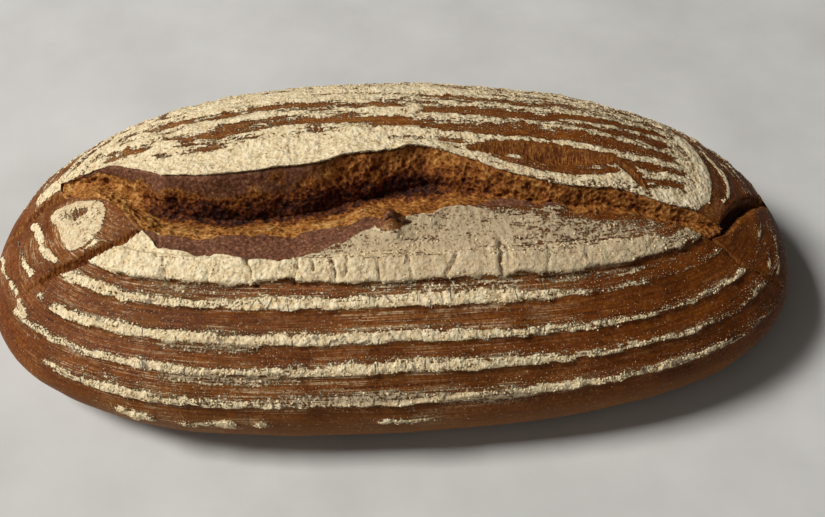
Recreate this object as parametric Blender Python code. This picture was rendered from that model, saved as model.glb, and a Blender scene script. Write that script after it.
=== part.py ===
"""A long sourdough loaf, proved in an oval basket and split along its back.

The loaf is one solid. Its skin is a grid of points worked out from a few sizes: columns run from
the middle of the split, over a lip, across the dome and down to the floor, and rows follow the
lips at first and the basket's rings further out. The side cuts are then cut into that skin.
+X is the right end, -Y the front, and the loaf stands on z = 0.
"""

import math

import bmesh
import bpy
import numpy as np

MM = 0.001

# The whole loaf
LENGTH = 300 * MM
WIDTH = 153 * MM
HEIGHT = 71 * MM
OUTLINE_POWER = 2.5  # 2 would be an ellipse, more is squarer
LEAN_WIDTH = -0.04  # the left end is a little wider than the right

# The dome: the ridge is a line that lies behind the middle, as the dough was turned out
RIDGE_HALF = 67 * MM
RIDGE_BACK = 18 * MM
DOME_POWER = 1.9
WIDEST_LEVEL = 0.29  # height of the widest line, as a share of the loaf's
END_FALL = 0.33  # how far the back line falls towards the ends
FLOOR_REACH = 0.745  # the foot's size, as a share of the widest outline

# Rings: 0 is the ridge, WIDEST_RING the widest line and 1 the edge of the foot
WIDEST_RING = 0.75
BASKET_RINGS = ((0.375, 0.402), (0.452, 0.480), (0.527, 0.555), (0.612, 0.652), (0.700, 0.745))
RING_HEIGHT = 0.8 * MM
RING_EDGE = 0.012
RING_BEARING = math.radians(250)  # where the rings stand out most
RING_MEAN = 0.6  # the share of their height that they keep on average,
RING_SWING = 0.4  # and how much more or less at the strongest and the weakest bearing
TOP_BAND = (0.292, 0.345)
TOP_BAND_HEIGHT = 1.3 * MM
TOP_BAND_ENDS = (0.1, 0.5)  # sine of the bearing, where the band fades in at the front

# The split: plan stations (x, y) of its two lips in millimetres
BACK_LIP = (
    (-124, 18), (-107, 17), (-93, 10), (-78, 3), (-60, 0), (-30, 0), (-14, 3), (12, 5.5),
    (26, 1), (44, -5.7), (60, -9), (76, -8.5), (95, -11), (108, -12), (118, -16),
)
FRONT_LIP = (
    (-124, 15), (-120, 8.5), (-114, 5), (-106, 1.5), (-97, -6), (-88, -17), (-80, -26), (-60, -32),
    (-42, -36), (-20, -32), (0, -25), (24, -21), (43, -18), (72, -18), (94, -19), (110, -20), (118, -16),
)
# Height of the back wall at a station, and how far the back lip curls up into an ear, in millimetres
WALL_HEIGHT = (
    (-124, 0), (-115, 2.5), (-100, 6.5), (-80, 12.5), (-45, 17), (-10, 15.5), (20, 11), (50, 6.5),
    (80, 4.8), (105, 4), (118, 0),
)
EAR_LIFT = ((-124, 0), (-100, 1), (-75, 2.6), (-20, 2.6), (10, 1.6), (40, 1.2), (100, 1), (118, 0))
EAR_REACH = 11 * MM
EAR_LEAN = 0.9  # forward shift of the ear for each unit of lift
# How far the wall steps forward at its foot, as a share of its height
WALL_LEAN = (
    (-124, 0.3), (-95, 0.6), (-60, 0.42), (-10, 0.45), (20, 0.55), (50, 0.7), (85, 0.75), (118, 0.5),
)
LEAN_LIMIT = 0.6  # the foot never lies nearer the front lip than this share of the split's width
WALL_ROUND = 1.7  # more than 1 hollows the wall under the ear
RAMP_POWER = 1.9  # the torn dough falls slowly behind the front lip and faster towards the wall
# The torn skin that stands up at the front lip
FLAP_LIFT = (
    (-124, 0), (-7, 0), (-1.5, 4.5), (2.5, 2.8), (12, 2.4), (24, 1.6), (36, 0.5), (50, 0), (118, 0),
)
FLAP_REACH = 7 * MM
FLAP_LEAN = -0.25  # the flap leans back over the split

# Side cuts: plan stations, widest half-width and depth in millimetres, and how slowly they taper
CUTS = {
    "left_upper": (((-112, 7), (-120, 10.5), (-127, 11), (-136, 6.5), (-145, 2)), 3.0, 2.6, 0.5),
    "left_lower": (((-85, -15), (-97, -20.5), (-109, -23.6), (-120, -25), (-133, -28)), 2.4, 3.4, 0.6),
    "right_upper": (((110, -21), (118, -16), (127, -5), (137, 5), (144, 10)), 3.2, 5.0, 0.5),
    "right_lower": (((108, -20), (116, -23), (124, -28), (140, -29)), 1.0, 1.4, 0.5),
    "back_opening": (((27, 5.5), (36, 5.8), (46, 5.6), (58, 4.8), (70, 4.4), (82, 3.6)), 5.4, 2.8, 0.8),
    "cross_tear": (((80, 5), (85, 1), (90, -6)), 2.2, 1.0, 0.6),
}
CUT_STEPS = 18
CUT_SIDES = 7  # points across the round bottom of a cut
CUT_END = 0.04  # the share of a cut's length that its blunt ends would add
CUT_FLARE = 1.3  # how much wider a cut opens above the crust
CUT_OVER = 2.5 * MM  # how far each cutter stands above the crust

# The grid
COLUMNS = 126
VALLEY_ROWS = 6
SHOULDER_ROWS = 10
JOIN_RING = 0.412  # the first row that follows a basket ring, just outside the ends of the split
UNDER_ROWS = (0.79, 0.84, 0.90, 0.96, 1.0)
RIGHT_END_ANGLE = math.radians(-19)  # where the split's ends lie, as ring angles
LEFT_END_ANGLE = math.radians(170.6)
HALVINGS = 40  # steps of the search for a point's ring
SLOPE_STEP = 0.5 * MM  # the distance over which the dome's slope is measured
SHARP_ANGLE = math.radians(50)  # edges steeper than this stay sharp

CRUST_BROWN = (0.19, 0.075, 0.028, 1.0)
FLOUR_CREAM = (0.72, 0.62, 0.44, 1.0)
CRUMB_BROWN = (0.26, 0.11, 0.035, 1.0)


def follow(stations, place):
    """A smooth curve through a few (place, value) stations.

    It never swings past its stations: its slope is level where they turn back.
    """
    places, values = np.array(stations, float).T
    grade = np.diff(values) / np.diff(places)
    before, after = grade[:-1], grade[1:]
    same_way = before * after > 0
    mean = np.where(same_way, 2 * before * after / np.where(same_way, before + after, 1), 0)
    slope = np.concatenate([grade[:1], mean, grade[-1:]])
    k = np.clip(np.searchsorted(places, place) - 1, 0, len(places) - 2)
    step = places[k + 1] - places[k]
    u = np.clip((place - places[k]) / step, 0, 1)
    rise = (1 + 2 * u) * (1 - u) ** 2 * values[k] + u**2 * (3 - 2 * u) * values[k + 1]
    turn = u * (1 - u) ** 2 * slope[k] - u**2 * (1 - u) * slope[k + 1]
    return rise + turn * step


def at(stations, x):
    """Stations given in millimetres, read at x in metres."""
    return follow(stations, x / MM) * MM


def signed_power(value, power):
    return np.sign(value) * np.abs(value) ** power


def profile(ring):
    """The share of the outline's reach, and of the height, at a ring."""
    over = np.sin(np.clip(ring / WIDEST_RING, 0, 1) * math.pi / 2)
    rise = WIDEST_LEVEL + (1 - WIDEST_LEVEL) * (1 - over**DOME_POWER) ** (1 / DOME_POWER)
    under = np.clip((ring - WIDEST_RING) / (1 - WIDEST_RING), 0, 1)
    tuck = FLOOR_REACH + (1 - FLOOR_REACH) * np.sqrt(1 - under**2)
    above = ring <= WIDEST_RING
    return np.where(above, over, tuck), np.where(above, rise, WIDEST_LEVEL * (1 - under))


def settle(x, rise):
    """The real height of a share of the height, lower towards the ends."""
    return rise * HEIGHT * (1 - END_FALL * (2 * x / LENGTH) ** 2 * rise)


def crust_point(ring, angle):
    """The smooth crust at a ring and an angle, 0 at the right end and a quarter turn at the back."""
    reach, rise = profile(ring)
    x = ((1 - reach) * RIDGE_HALF + reach * LENGTH / 2) * signed_power(np.cos(angle), 2 / OUTLINE_POWER)
    y = reach * WIDTH / 2 * signed_power(np.sin(angle), 2 / OUTLINE_POWER) + (1 - reach) * RIDGE_BACK
    return np.stack([x, y * (1 + LEAN_WIDTH * 2 * x / LENGTH), settle(x, rise)], axis=-1)


def reach_at(x, y):
    """The share of reach at a plan point, found by halving."""
    low, high = np.zeros(np.shape(x)), np.ones(np.shape(x))
    for _ in range(HALVINGS):
        middle = (low + high) / 2
        along = np.abs(x) / ((1 - middle) * RIDGE_HALF + middle * LENGTH / 2)
        side = y / (1 + LEAN_WIDTH * 2 * x / LENGTH) - (1 - middle) * RIDGE_BACK
        across = np.abs(side) / (middle * WIDTH / 2)
        inside = along**OUTLINE_POWER + across**OUTLINE_POWER < 1
        high = np.where(inside, middle, high)
        low = np.where(inside, low, middle)
    return (low + high) / 2


def ring_at(x, y):
    return np.arcsin(reach_at(x, y)) * 2 / math.pi * WIDEST_RING


def dome_height(x, y):
    return settle(x, profile(ring_at(x, y))[1])


def step_between(value, low, high):
    """0 below low, 1 above high, smooth between."""
    u = np.clip((value - low) / (high - low), 0, 1)
    return u * u * (3 - 2 * u)


def band(ring, low, high):
    return step_between(ring, low - RING_EDGE, low) * (1 - step_between(ring, high, high + RING_EDGE))


def crust_relief(ring, angle):
    """How far the floured basket rings stand out, most at the front and least at the right end."""
    facing = RING_MEAN + RING_SWING * np.cos(angle - RING_BEARING)
    front = step_between(-np.sin(angle), *TOP_BAND_ENDS)
    height = TOP_BAND_HEIGHT * band(ring, *TOP_BAND) * front
    for low, high in BASKET_RINGS:
        height = height + RING_HEIGHT * band(ring, low, high) * facing
    return height


def lip_points(turn):
    """Where each column meets its lip, and whether that lip is the front one."""
    stations = np.array([BACK_LIP[0][0], BACK_LIP[-1][0]]) * MM
    x = stations.mean() + np.ptp(stations) / 2 * np.cos(turn)
    front = np.sin(turn) < 0
    return x, np.where(front, at(FRONT_LIP, x), at(BACK_LIP, x)), front


def lip_lift(x, front, distance):
    """How far the ear at the back lip, or the flap at the front one, lifts the skin near it."""
    ear = at(EAR_LIFT, x) * np.clip(1 - distance / EAR_REACH, 0, 1) ** 2
    flap = at(FLAP_LIFT, x) * np.clip(1 - distance / FLAP_REACH, 0, 1) ** 1.5
    return np.where(front, flap, ear)


def ring_angle(turn):
    """The ring angle at which each column goes on: straight out where the split ends."""
    right = RIGHT_END_ANGLE * np.clip(np.cos(turn), 0, 1) ** 2
    left = (LEFT_END_ANGLE - math.pi) * np.clip(-np.cos(turn), 0, 1) ** 2
    return turn + right + left


def shoulder_rows(turn):
    """Rows from a lip out to the first basket ring, straight in plan."""
    lip_x, lip_y, front = lip_points(turn)
    lean = np.where(front, FLAP_LEAN, EAR_LEAN)
    joined = crust_point(np.float64(JOIN_RING), ring_angle(turn))
    rows = []
    for share in np.linspace(0, 1, SHOULDER_ROWS + 1)[:-1]:
        x = lip_x + (joined[:, 0] - lip_x) * share
        y = lip_y + (joined[:, 1] - lip_y) * share
        lift = lip_lift(lip_x, front, np.hypot(x - lip_x, y - lip_y))
        rows.append(np.stack([x, y - lean * lift, dome_height(x, y) + lift], axis=-1))
    return rows


def ring_rows(turn):
    rings = [JOIN_RING]
    for low, high in BASKET_RINGS[1:]:
        rings += [low - RING_EDGE, low, high, high + RING_EDGE]
    rings += UNDER_ROWS
    return [crust_point(np.float64(ring), ring_angle(turn)) for ring in rings]


def raise_relief(grid, turn):
    """Moves each point of the crust out along its normal by the relief there."""
    along = np.roll(grid, -1, axis=1) - np.roll(grid, 1, axis=1)
    down = np.gradient(grid, axis=0)
    normal = np.cross(down, along)
    normal /= np.linalg.norm(normal, axis=-1, keepdims=True)
    rings = ring_at(grid[..., 0], grid[..., 1])
    height = crust_relief(rings, np.broadcast_to(ring_angle(turn), rings.shape))
    height[-len(UNDER_ROWS):] = 0
    height[0] = 0
    return grid + normal * height[..., None]


def valley_rows(turn, lips):
    """Rows from the foot of the back wall to a lip: up the wall at the back, up the torn ramp in front."""
    lip_x, _, front = lip_points(turn)
    back_y, front_y = at(BACK_LIP, lip_x), at(FRONT_LIP, lip_x)
    wall = at(WALL_HEIGHT, lip_x)
    step = np.minimum(follow(WALL_LEAN, lip_x / MM) * wall, LEAN_LIMIT * (back_y - front_y))
    foot_y, foot_z = back_y - step, dome_height(lip_x, back_y) - wall
    flap = np.where(front, lip_lift(lip_x, front, np.zeros(lip_x.shape)), 0)
    top_y, top_z = lips[:, 1] + FLAP_LEAN * flap, lips[:, 2] - flap
    rows = []
    for share in np.linspace(0, 1, VALLEY_ROWS + 1)[:-1]:
        y = foot_y + (top_y - foot_y) * np.where(front, share, share**WALL_ROUND)
        rise = np.where(front, 1 - (1 - share) ** RAMP_POWER, share)
        rows.append(np.stack([lip_x, y, foot_z + (top_z - foot_z) * rise], axis=-1))
    return rows


def loaf_grid():
    """All rows of points, from the middle of the split to the edge of the foot."""
    turn = np.arange(COLUMNS) * 2 * math.pi / COLUMNS
    crust = raise_relief(np.array(shoulder_rows(turn) + ring_rows(turn)), turn)
    valley = np.array(valley_rows(turn, crust[0]))
    return np.concatenate([valley, crust])


def row_names(rows):
    """A key for each point of the grid: columns that face each other share the middle of the split."""
    half = COLUMNS // 2
    names = {}
    for row in range(rows):
        for column in range(COLUMNS):
            if row < VALLEY_ROWS and column % half == 0:
                names[row, column] = (VALLEY_ROWS, column)
            elif row == 0:
                names[row, column] = (0, min(column, COLUMNS - column))
            else:
                names[row, column] = (row, column)
    return names


def material(name, colour, roughness):
    made = bpy.data.materials.new(name)
    made.use_nodes = True
    shader = made.node_tree.nodes["Principled BSDF"]
    shader.inputs["Base Color"].default_value = colour
    shader.inputs["Roughness"].default_value = roughness
    return made


def build_loaf(crust, flour, crumb):
    grid = loaf_grid()
    rows = len(grid)
    names = row_names(rows)
    shell = bmesh.new()
    points = {}
    for place, name in names.items():
        if name not in points:
            points[name] = shell.verts.new(grid[name])
    floured = {VALLEY_ROWS + SHOULDER_ROWS + 2 + 4 * k for k in range(len(BASKET_RINGS) - 1)}
    for row in range(rows - 1):
        for column in range(COLUMNS):
            after = (column + 1) % COLUMNS
            corners = ((row, column), (row + 1, column), (row + 1, after), (row, after))
            ring = list(dict.fromkeys(points[names[corner]] for corner in corners))
            if len(ring) > 2:
                face = shell.faces.new(ring)
                face.smooth = True
                face.material_index = 2 if row < VALLEY_ROWS else int(row in floured)
    shell.faces.new([points[names[rows - 1, column]] for column in reversed(range(COLUMNS))])
    bmesh.ops.triangulate(shell, faces=shell.faces[:])
    bmesh.ops.recalc_face_normals(shell, faces=shell.faces[:])
    mesh = bpy.data.meshes.new("loaf")
    shell.to_mesh(mesh)
    shell.free()
    for finish in (crust, flour, crumb):
        mesh.materials.append(finish)
    mesh.set_sharp_from_angle(angle=SHARP_ANGLE)
    loaf = bpy.data.objects.new("loaf", mesh)
    bpy.context.scene.collection.objects.link(loaf)
    return loaf


def surface_frame(x, y):
    """A point of the dome at a plan place, with its outward normal."""
    slope_x = (dome_height(x + SLOPE_STEP, y) - dome_height(x - SLOPE_STEP, y)) / (2 * SLOPE_STEP)
    slope_y = (dome_height(x, y + SLOPE_STEP) - dome_height(x, y - SLOPE_STEP)) / (2 * SLOPE_STEP)
    normal = np.stack([-slope_x, -slope_y, np.ones(x.shape)], axis=-1)
    place = np.stack([x, y, dome_height(x, y)], axis=-1)
    return place, normal / np.linalg.norm(normal, axis=-1, keepdims=True)


def build_cutter(name, stations, half_width, depth, taper, finish):
    """A tapered wedge with a round bottom, laid along the crust, to be cut out of it."""
    bottom = [(math.sin(a), -math.cos(a)) for a in np.linspace(-math.pi / 2, math.pi / 2, CUT_SIDES)]
    share = np.linspace(0, 1, CUT_STEPS)
    knots = np.array(stations, float)
    run = np.concatenate([[0], np.cumsum(np.hypot(*np.diff(knots, axis=0).T))])
    x = at(np.stack([run, knots[:, 0]], axis=1), share * run[-1] * MM)
    y = at(np.stack([run, knots[:, 1]], axis=1), share * run[-1] * MM)
    place, normal = surface_frame(x, y)
    side = np.cross(normal, np.gradient(place, axis=0))
    side /= np.linalg.norm(side, axis=-1, keepdims=True)
    swell = np.sin(math.pi * (CUT_END + (1 - 2 * CUT_END) * share)) ** taper
    shell = bmesh.new()
    rings = []
    for k in range(CUT_STEPS):
        width, drop = half_width * MM * swell[k], depth * MM * swell[k]
        ring = [place[k] + side[k] * width * u + normal[k] * drop * v for u, v in bottom]
        ring += [place[k] + side[k] * width * CUT_FLARE * u + normal[k] * CUT_OVER for u in (1, -1)]
        rings.append([shell.verts.new(point) for point in ring])
    for first, second in zip(rings, rings[1:]):
        for k in range(len(first)):
            after = (k + 1) % len(first)
            shell.faces.new((first[k], first[after], second[after], second[k]))
    shell.faces.new(rings[0])
    shell.faces.new(rings[-1])
    bmesh.ops.recalc_face_normals(shell, faces=shell.faces[:])
    mesh = bpy.data.meshes.new(name)
    shell.to_mesh(mesh)
    shell.free()
    mesh.materials.append(finish)
    cutter = bpy.data.objects.new(name, mesh)
    cutter.hide_render = True
    cutter.display_type = "WIRE"
    bpy.context.scene.collection.objects.link(cutter)
    return cutter


def main():
    for item in list(bpy.data.objects):
        bpy.data.objects.remove(item)
    crust = material("baked crust", CRUST_BROWN, 0.6)
    flour = material("rice flour", FLOUR_CREAM, 0.95)
    crumb = material("torn crumb", CRUMB_BROWN, 0.8)
    loaf = build_loaf(crust, flour, crumb)
    for name, (stations, half_width, depth, taper) in CUTS.items():
        cutter = build_cutter("cut_" + name, stations, half_width, depth, taper, crumb)
        cut = loaf.modifiers.new(name, "BOOLEAN")
        cut.operation = "DIFFERENCE"
        cut.object = cutter


main()
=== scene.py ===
# %% [markdown]
# # A sourdough loaf
#
# A long loaf that rose in a floured cane basket and was slit along its back. In the oven the slit
# tore open: the back lip curled up into an ear, and the crumb inside baked golden brown. The cane
# left rings of caked rice flour all round. This lesson builds the crust as one closed mesh, lays the
# torn crumb in it, and then finishes both with materials that read where each point lies on the loaf.

# %% Open the frame
import itertools
import math

import bpy
import numpy as np
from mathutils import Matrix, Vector


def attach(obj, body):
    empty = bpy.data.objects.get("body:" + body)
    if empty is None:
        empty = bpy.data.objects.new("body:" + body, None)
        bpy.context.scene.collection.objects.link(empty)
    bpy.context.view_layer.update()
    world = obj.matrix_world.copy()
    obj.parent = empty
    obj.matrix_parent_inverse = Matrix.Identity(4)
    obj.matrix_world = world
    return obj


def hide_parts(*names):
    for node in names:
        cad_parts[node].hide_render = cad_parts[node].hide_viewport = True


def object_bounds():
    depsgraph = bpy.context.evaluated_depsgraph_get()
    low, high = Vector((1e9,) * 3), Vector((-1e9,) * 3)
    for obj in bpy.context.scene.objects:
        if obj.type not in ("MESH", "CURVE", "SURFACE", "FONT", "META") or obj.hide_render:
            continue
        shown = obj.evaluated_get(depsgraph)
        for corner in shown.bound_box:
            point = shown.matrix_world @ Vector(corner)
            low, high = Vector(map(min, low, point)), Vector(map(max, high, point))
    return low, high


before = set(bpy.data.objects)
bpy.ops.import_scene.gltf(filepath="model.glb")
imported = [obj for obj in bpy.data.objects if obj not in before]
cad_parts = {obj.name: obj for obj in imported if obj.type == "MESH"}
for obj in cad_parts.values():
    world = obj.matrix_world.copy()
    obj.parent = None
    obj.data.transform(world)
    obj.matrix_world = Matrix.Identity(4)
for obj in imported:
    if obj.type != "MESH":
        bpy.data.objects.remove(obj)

MM = 0.001
cad_low, cad_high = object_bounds()

# %% [markdown]
# ## The sizes that drive everything
#
# The smooth loaf is a little smaller than the solid's box, because the floured rings and the ear
# stand proud of it. All sizes below are in metres, and stations along the loaf are in millimetres,
# because that is how a baker would measure them.

# %% Driving sizes
RING_STAND_X, RING_STAND_Y, EAR_STAND = 0.45 * MM, 0.7 * MM, 1.5 * MM
LENGTH = cad_high.x - cad_low.x - 2 * RING_STAND_X
WIDTH = cad_high.y - cad_low.y - 2 * RING_STAND_Y
HEIGHT = cad_high.z - cad_low.z - EAR_STAND
OUTLINE_POWER = 2.5
LEAN_WIDTH = -0.04
RIDGE_HALF, RIDGE_BACK = 67 * MM, 18 * MM
DOME_POWER, WIDEST_LEVEL, END_FALL, FLOOR_REACH = 1.9, 0.29, 0.33, 0.745
WIDEST_RING = 0.75
RING_STEP = 154  # millimetres of crust for one whole unit of ring number
print(f"smooth loaf: {LENGTH / MM:.1f} x {WIDTH / MM:.1f} x {HEIGHT / MM:.1f} mm")

# %% [markdown]
# ## The camera
#
# The camera is solved from the loaf's outline and its rings: it looks down at about 48 degrees from
# just left of the middle of the front, 40 cm away. The camera comes first.

# %% Camera
CAMERA_TURN, CAMERA_DOWN = math.radians(-2.334), math.radians(48.416)
CAMERA_AWAY = 399.6 * MM
CAMERA_AIM = Vector((7.02, 0, 18.09)) * MM
LENS_MM, SENSOR_MM = 44.95, 36

camera = bpy.data.objects.new("camera", bpy.data.cameras.new("camera"))
camera.data.lens, camera.data.sensor_width = LENS_MM, SENSOR_MM
camera.data.clip_start, camera.data.clip_end = 10 * MM, 20
back_up = Vector((
    math.sin(CAMERA_TURN) * math.cos(CAMERA_DOWN),
    -math.cos(CAMERA_TURN) * math.cos(CAMERA_DOWN),
    math.sin(CAMERA_DOWN),
))
camera.location = CAMERA_AIM + back_up * CAMERA_AWAY
camera.rotation_euler = (-back_up).to_track_quat("-Z", "Y").to_euler()
bpy.context.scene.collection.objects.link(camera)
bpy.context.scene.camera = camera
print("camera at", [round(v, 3) for v in camera.location])

# %% [markdown]
# ## Smooth curves through a few stations
#
# Lips, wall heights and the strength of a flour ring change slowly along the loaf. A short list of
# stations and one smooth curve through them says that in a line. The curve never swings past its
# stations, so a lip can't wobble between two of them.

# %% A curve through stations
def follow(stations, place):
    """A smooth curve through (place, value) stations, level where the stations turn back."""
    places, values = np.array(stations, float).T
    grade = np.diff(values) / np.diff(places)
    before, after = grade[:-1], grade[1:]
    same_way = before * after > 0
    mean = np.where(same_way, 2 * before * after / np.where(same_way, before + after, 1), 0)
    slope = np.concatenate([grade[:1], mean, grade[-1:]])
    k = np.clip(np.searchsorted(places, place) - 1, 0, len(places) - 2)
    step = places[k + 1] - places[k]
    u = np.clip((place - places[k]) / step, 0, 1)
    rise = (1 + 2 * u) * (1 - u) ** 2 * values[k] + u**2 * (3 - 2 * u) * values[k + 1]
    return rise + (u * (1 - u) ** 2 * slope[k] - u**2 * (1 - u) * slope[k + 1]) * step


def step_between(value, low, high):
    """0 at low and before it, 1 at high and past it, smooth between."""
    u = np.clip((value - low) / (high - low), 0, 1)
    return u * u * (3 - 2 * u)


# %% [markdown]
# ## Unevenness
#
# Dough is lumpy at every size. Value noise gives each cell of a grid its own number and blends
# between cells; a second kind, pores, measures how far a point is from the nearest bubble. Both are
# plain arithmetic on whole cell numbers, so the loaf comes out the same on every run.

# %% Lumps and pores
def cell_number(cell, seed):
    """A repeatable number from 0 to 1 for each whole-numbered cell."""
    word = cell[..., 0] * 73856093 ^ cell[..., 1] * 19349663 ^ cell[..., 2] * 83492791 ^ seed * 668265263
    for shift, factor in ((15, 2246822519), (13, 3266489917)):
        word = (word & 0xFFFFFFFF) ^ ((word & 0xFFFFFFFF) >> shift)
        word = (word * factor) & 0xFFFFFFFF
    return (word ^ (word >> 16)) / 0xFFFFFFFF


def lumps(places, size, seed, layers=1):
    """Smooth noise from -1 to 1 with lumps of a size, each further layer half as large and as high."""
    total = np.zeros(places.shape[:-1])
    for layer in range(layers):
        spot = places / (size / 2**layer)
        cell = np.floor(spot).astype(np.int64)
        inner = spot - cell
        inner = inner * inner * (3 - 2 * inner)
        for corner in itertools.product((0, 1), repeat=3):
            weight = np.where(corner, inner, 1 - inner).prod(axis=-1)
            total += weight * (2 * cell_number(cell + corner, seed + layer) - 1) / 2**layer
    return total


def pores(places, size, seed):
    """Distance from each point to the nearest bubble's middle, as a share of the bubbles' spacing."""
    spot = places / size
    cell = np.floor(spot).astype(np.int64)
    nearest = np.full(places.shape[:-1], 9.0)
    for corner in itertools.product((-1, 0, 1), repeat=3):
        there = cell + corner
        middle = there + np.stack([cell_number(there, seed + axis) for axis in range(3)], axis=-1)
        nearest = np.minimum(nearest, np.linalg.norm(middle - spot, axis=-1))
    return nearest


# %% [markdown]
# ## The smooth dome
#
# Each ring the basket left is a rounded rectangle round the ridge line. A ring number says which
# one: 0 is the ridge, 0.75 the widest line and 1 the edge of the foot. With the ring number and the
# bearing round the loaf, any point of the crust has an address, as on a map.

# %% The dome
HALVINGS = 30  # enough to find a point's ring to the last digit that shows


def signed_power(value, power):
    return np.sign(value) * np.abs(value) ** power


def profile(ring):
    """The share of the outline's reach, and of the height, at a ring."""
    over = np.sin(np.clip(ring / WIDEST_RING, 0, 1) * math.pi / 2)
    rise = WIDEST_LEVEL + (1 - WIDEST_LEVEL) * (1 - over**DOME_POWER) ** (1 / DOME_POWER)
    under = np.clip((ring - WIDEST_RING) / (1 - WIDEST_RING), 0, 1)
    tuck = FLOOR_REACH + (1 - FLOOR_REACH) * np.sqrt(1 - under**2)
    above = ring <= WIDEST_RING
    return np.where(above, over, tuck), np.where(above, rise, WIDEST_LEVEL * (1 - under))


def settle(x, rise):
    """The real height of a share of the height, lower towards the ends."""
    return rise * HEIGHT * (1 - END_FALL * (2 * x / LENGTH) ** 2 * rise)


def crust_point(ring, angle):
    """The smooth crust at a ring and an angle: 0 is the right end, a quarter turn the back."""
    reach, rise = profile(ring)
    x = ((1 - reach) * RIDGE_HALF + reach * LENGTH / 2) * signed_power(np.cos(angle), 2 / OUTLINE_POWER)
    y = reach * WIDTH / 2 * signed_power(np.sin(angle), 2 / OUTLINE_POWER) + (1 - reach) * RIDGE_BACK
    return np.stack([x, y * (1 + LEAN_WIDTH * 2 * x / LENGTH), settle(x, rise)], axis=-1)


def reach_at(x, y):
    """The share of reach at a plan point, found by halving."""
    low, high = np.zeros(np.shape(x)), np.ones(np.shape(x))
    for _ in range(HALVINGS):
        middle = (low + high) / 2
        along = np.abs(x) / ((1 - middle) * RIDGE_HALF + middle * LENGTH / 2)
        side = y / (1 + LEAN_WIDTH * 2 * x / LENGTH) - (1 - middle) * RIDGE_BACK
        across = np.abs(side) / (middle * WIDTH / 2)
        inside = along**OUTLINE_POWER + across**OUTLINE_POWER < 1
        high = np.where(inside, middle, high)
        low = np.where(inside, low, middle)
    return (low + high) / 2


def ring_at(x, y):
    return np.arcsin(reach_at(x, y)) * 2 / math.pi * WIDEST_RING


def bearing_at(x, y, reach):
    """The bearing of a plan point round the ridge line, in degrees from 90 at the back to 450."""
    along = x / ((1 - reach) * RIDGE_HALF + reach * LENGTH / 2)
    side = y / (1 + LEAN_WIDTH * 2 * x / LENGTH) - (1 - reach) * RIDGE_BACK
    across = side / (reach * WIDTH / 2)
    turn = np.arctan2(signed_power(across, OUTLINE_POWER / 2), signed_power(along, OUTLINE_POWER / 2))
    return 90 + (np.degrees(turn) - 90) % 360


def dome_height(x, y):
    return settle(x, profile(ring_at(x, y))[1])


# %% [markdown]
# ## The split
#
# The slit ran a little in front of the ridge. Its back lip is the ear. From there a wall drops to the
# torn crumb, which climbs again to a shelf of smooth skin behind the front lip. One function gives
# that section at any station, and both the crust and the crumb use it.

# %% Stations of the split
BACK_LIP = (
    (-124, 18), (-107, 17), (-93, 10), (-78, 3), (-60, 0), (-30, 0), (-14, 3), (12, 5.5),
    (26, 1), (44, -5.7), (60, -9), (76, -8.5), (95, -11), (108, -12), (118, -16),
)
FRONT_LIP = (
    (-124, 15), (-120, 8.5), (-114, 5), (-106, 1.5), (-97, -6), (-88, -17), (-80, -26), (-60, -32),
    (-42, -36), (-20, -32), (0, -25), (24, -21), (43, -18), (72, -18), (94, -19), (110, -20), (118, -16),
)
WALL_HEIGHT = (
    (-124, 0), (-115, 2.5), (-100, 6.5), (-80, 12.5), (-45, 17), (-10, 15.5), (20, 11), (50, 6.5),
    (80, 4.8), (105, 4), (118, 0),
)
SKIN_WIDTH = (
    (-124, 0), (-88, 1), (-80, 6), (-60, 9), (-45, 11.5), (-25, 9), (-12, 6), (0, 2), (12, 0.5),
    (25, 1.5), (38, 4), (52, 1.5), (70, 0.3), (118, 0),
)
EAR_LIFT = ((-124, 0), (-100, 1), (-75, 2.6), (-20, 2.6), (10, 1.6), (40, 1.2), (100, 1), (118, 0))
FLAP_LIFT = (
    (-124, 0), (-9, 0), (-5, 2.4), (-1.8, 7.5), (1.8, 4.2), (5, 2.6), (12, 2.4), (24, 1.6), (36, 0.5),
    (50, 0), (118, 0),
)
EAR_REACH, FLAP_REACH = 11 * MM, 7 * MM
WALL_LEAN = ((-124, 0.3), (-95, 0.6), (-60, 0.42), (-10, 0.45), (20, 0.55), (50, 0.7), (85, 0.75), (118, 0.5))
FLAP_THICK = 2.5 * MM
EAR_LEAN, FLAP_LEAN = 0.9, -0.25
BACK_RAGGED = ((9 * MM, 0.5 * MM, 61), (3 * MM, 0.3 * MM, 62))
FRONT_RAGGED = ((11 * MM, 1.0 * MM, 63), (3.5 * MM, 0.6 * MM, 64), (1.6 * MM, 0.3 * MM, 65))
RAMP_POWER, SHELF_RISE, WALL_ROUND = 1.25, 0.04, 1.7
FOOT_SHARE = 0.3  # the section's share at the foot of the wall; 0 is the back lip and 1 the front
SPLIT_ENDS = np.array([BACK_LIP[0][0], BACK_LIP[-1][0]]) * MM
print("the split runs from", SPLIT_ENDS[0] / MM, "to", SPLIT_ENDS[1] / MM, "mm")

# %% Lips that wander, and the torn surface between them
def at(stations, x):
    """A station list in millimetres, read at x in metres."""
    return follow(stations, x / MM) * MM


def ragged(x, sizes):
    """How far a torn edge wanders at each station, with both ends held."""
    ends = np.clip(1 - np.abs(2 * (x - SPLIT_ENDS[0]) / np.ptp(SPLIT_ENDS) - 1), 0, 1)
    places = np.stack([x, 0 * x, 0 * x], axis=-1)
    return sum(amount * lumps(places, size, seed) for size, amount, seed in sizes) * np.clip(ends * 12, 0, 1)


def back_edge(x):
    return at(BACK_LIP, x) + ragged(x, BACK_RAGGED)


def front_edge(x):
    return at(FRONT_LIP, x) + ragged(x, FRONT_RAGGED)


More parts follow.
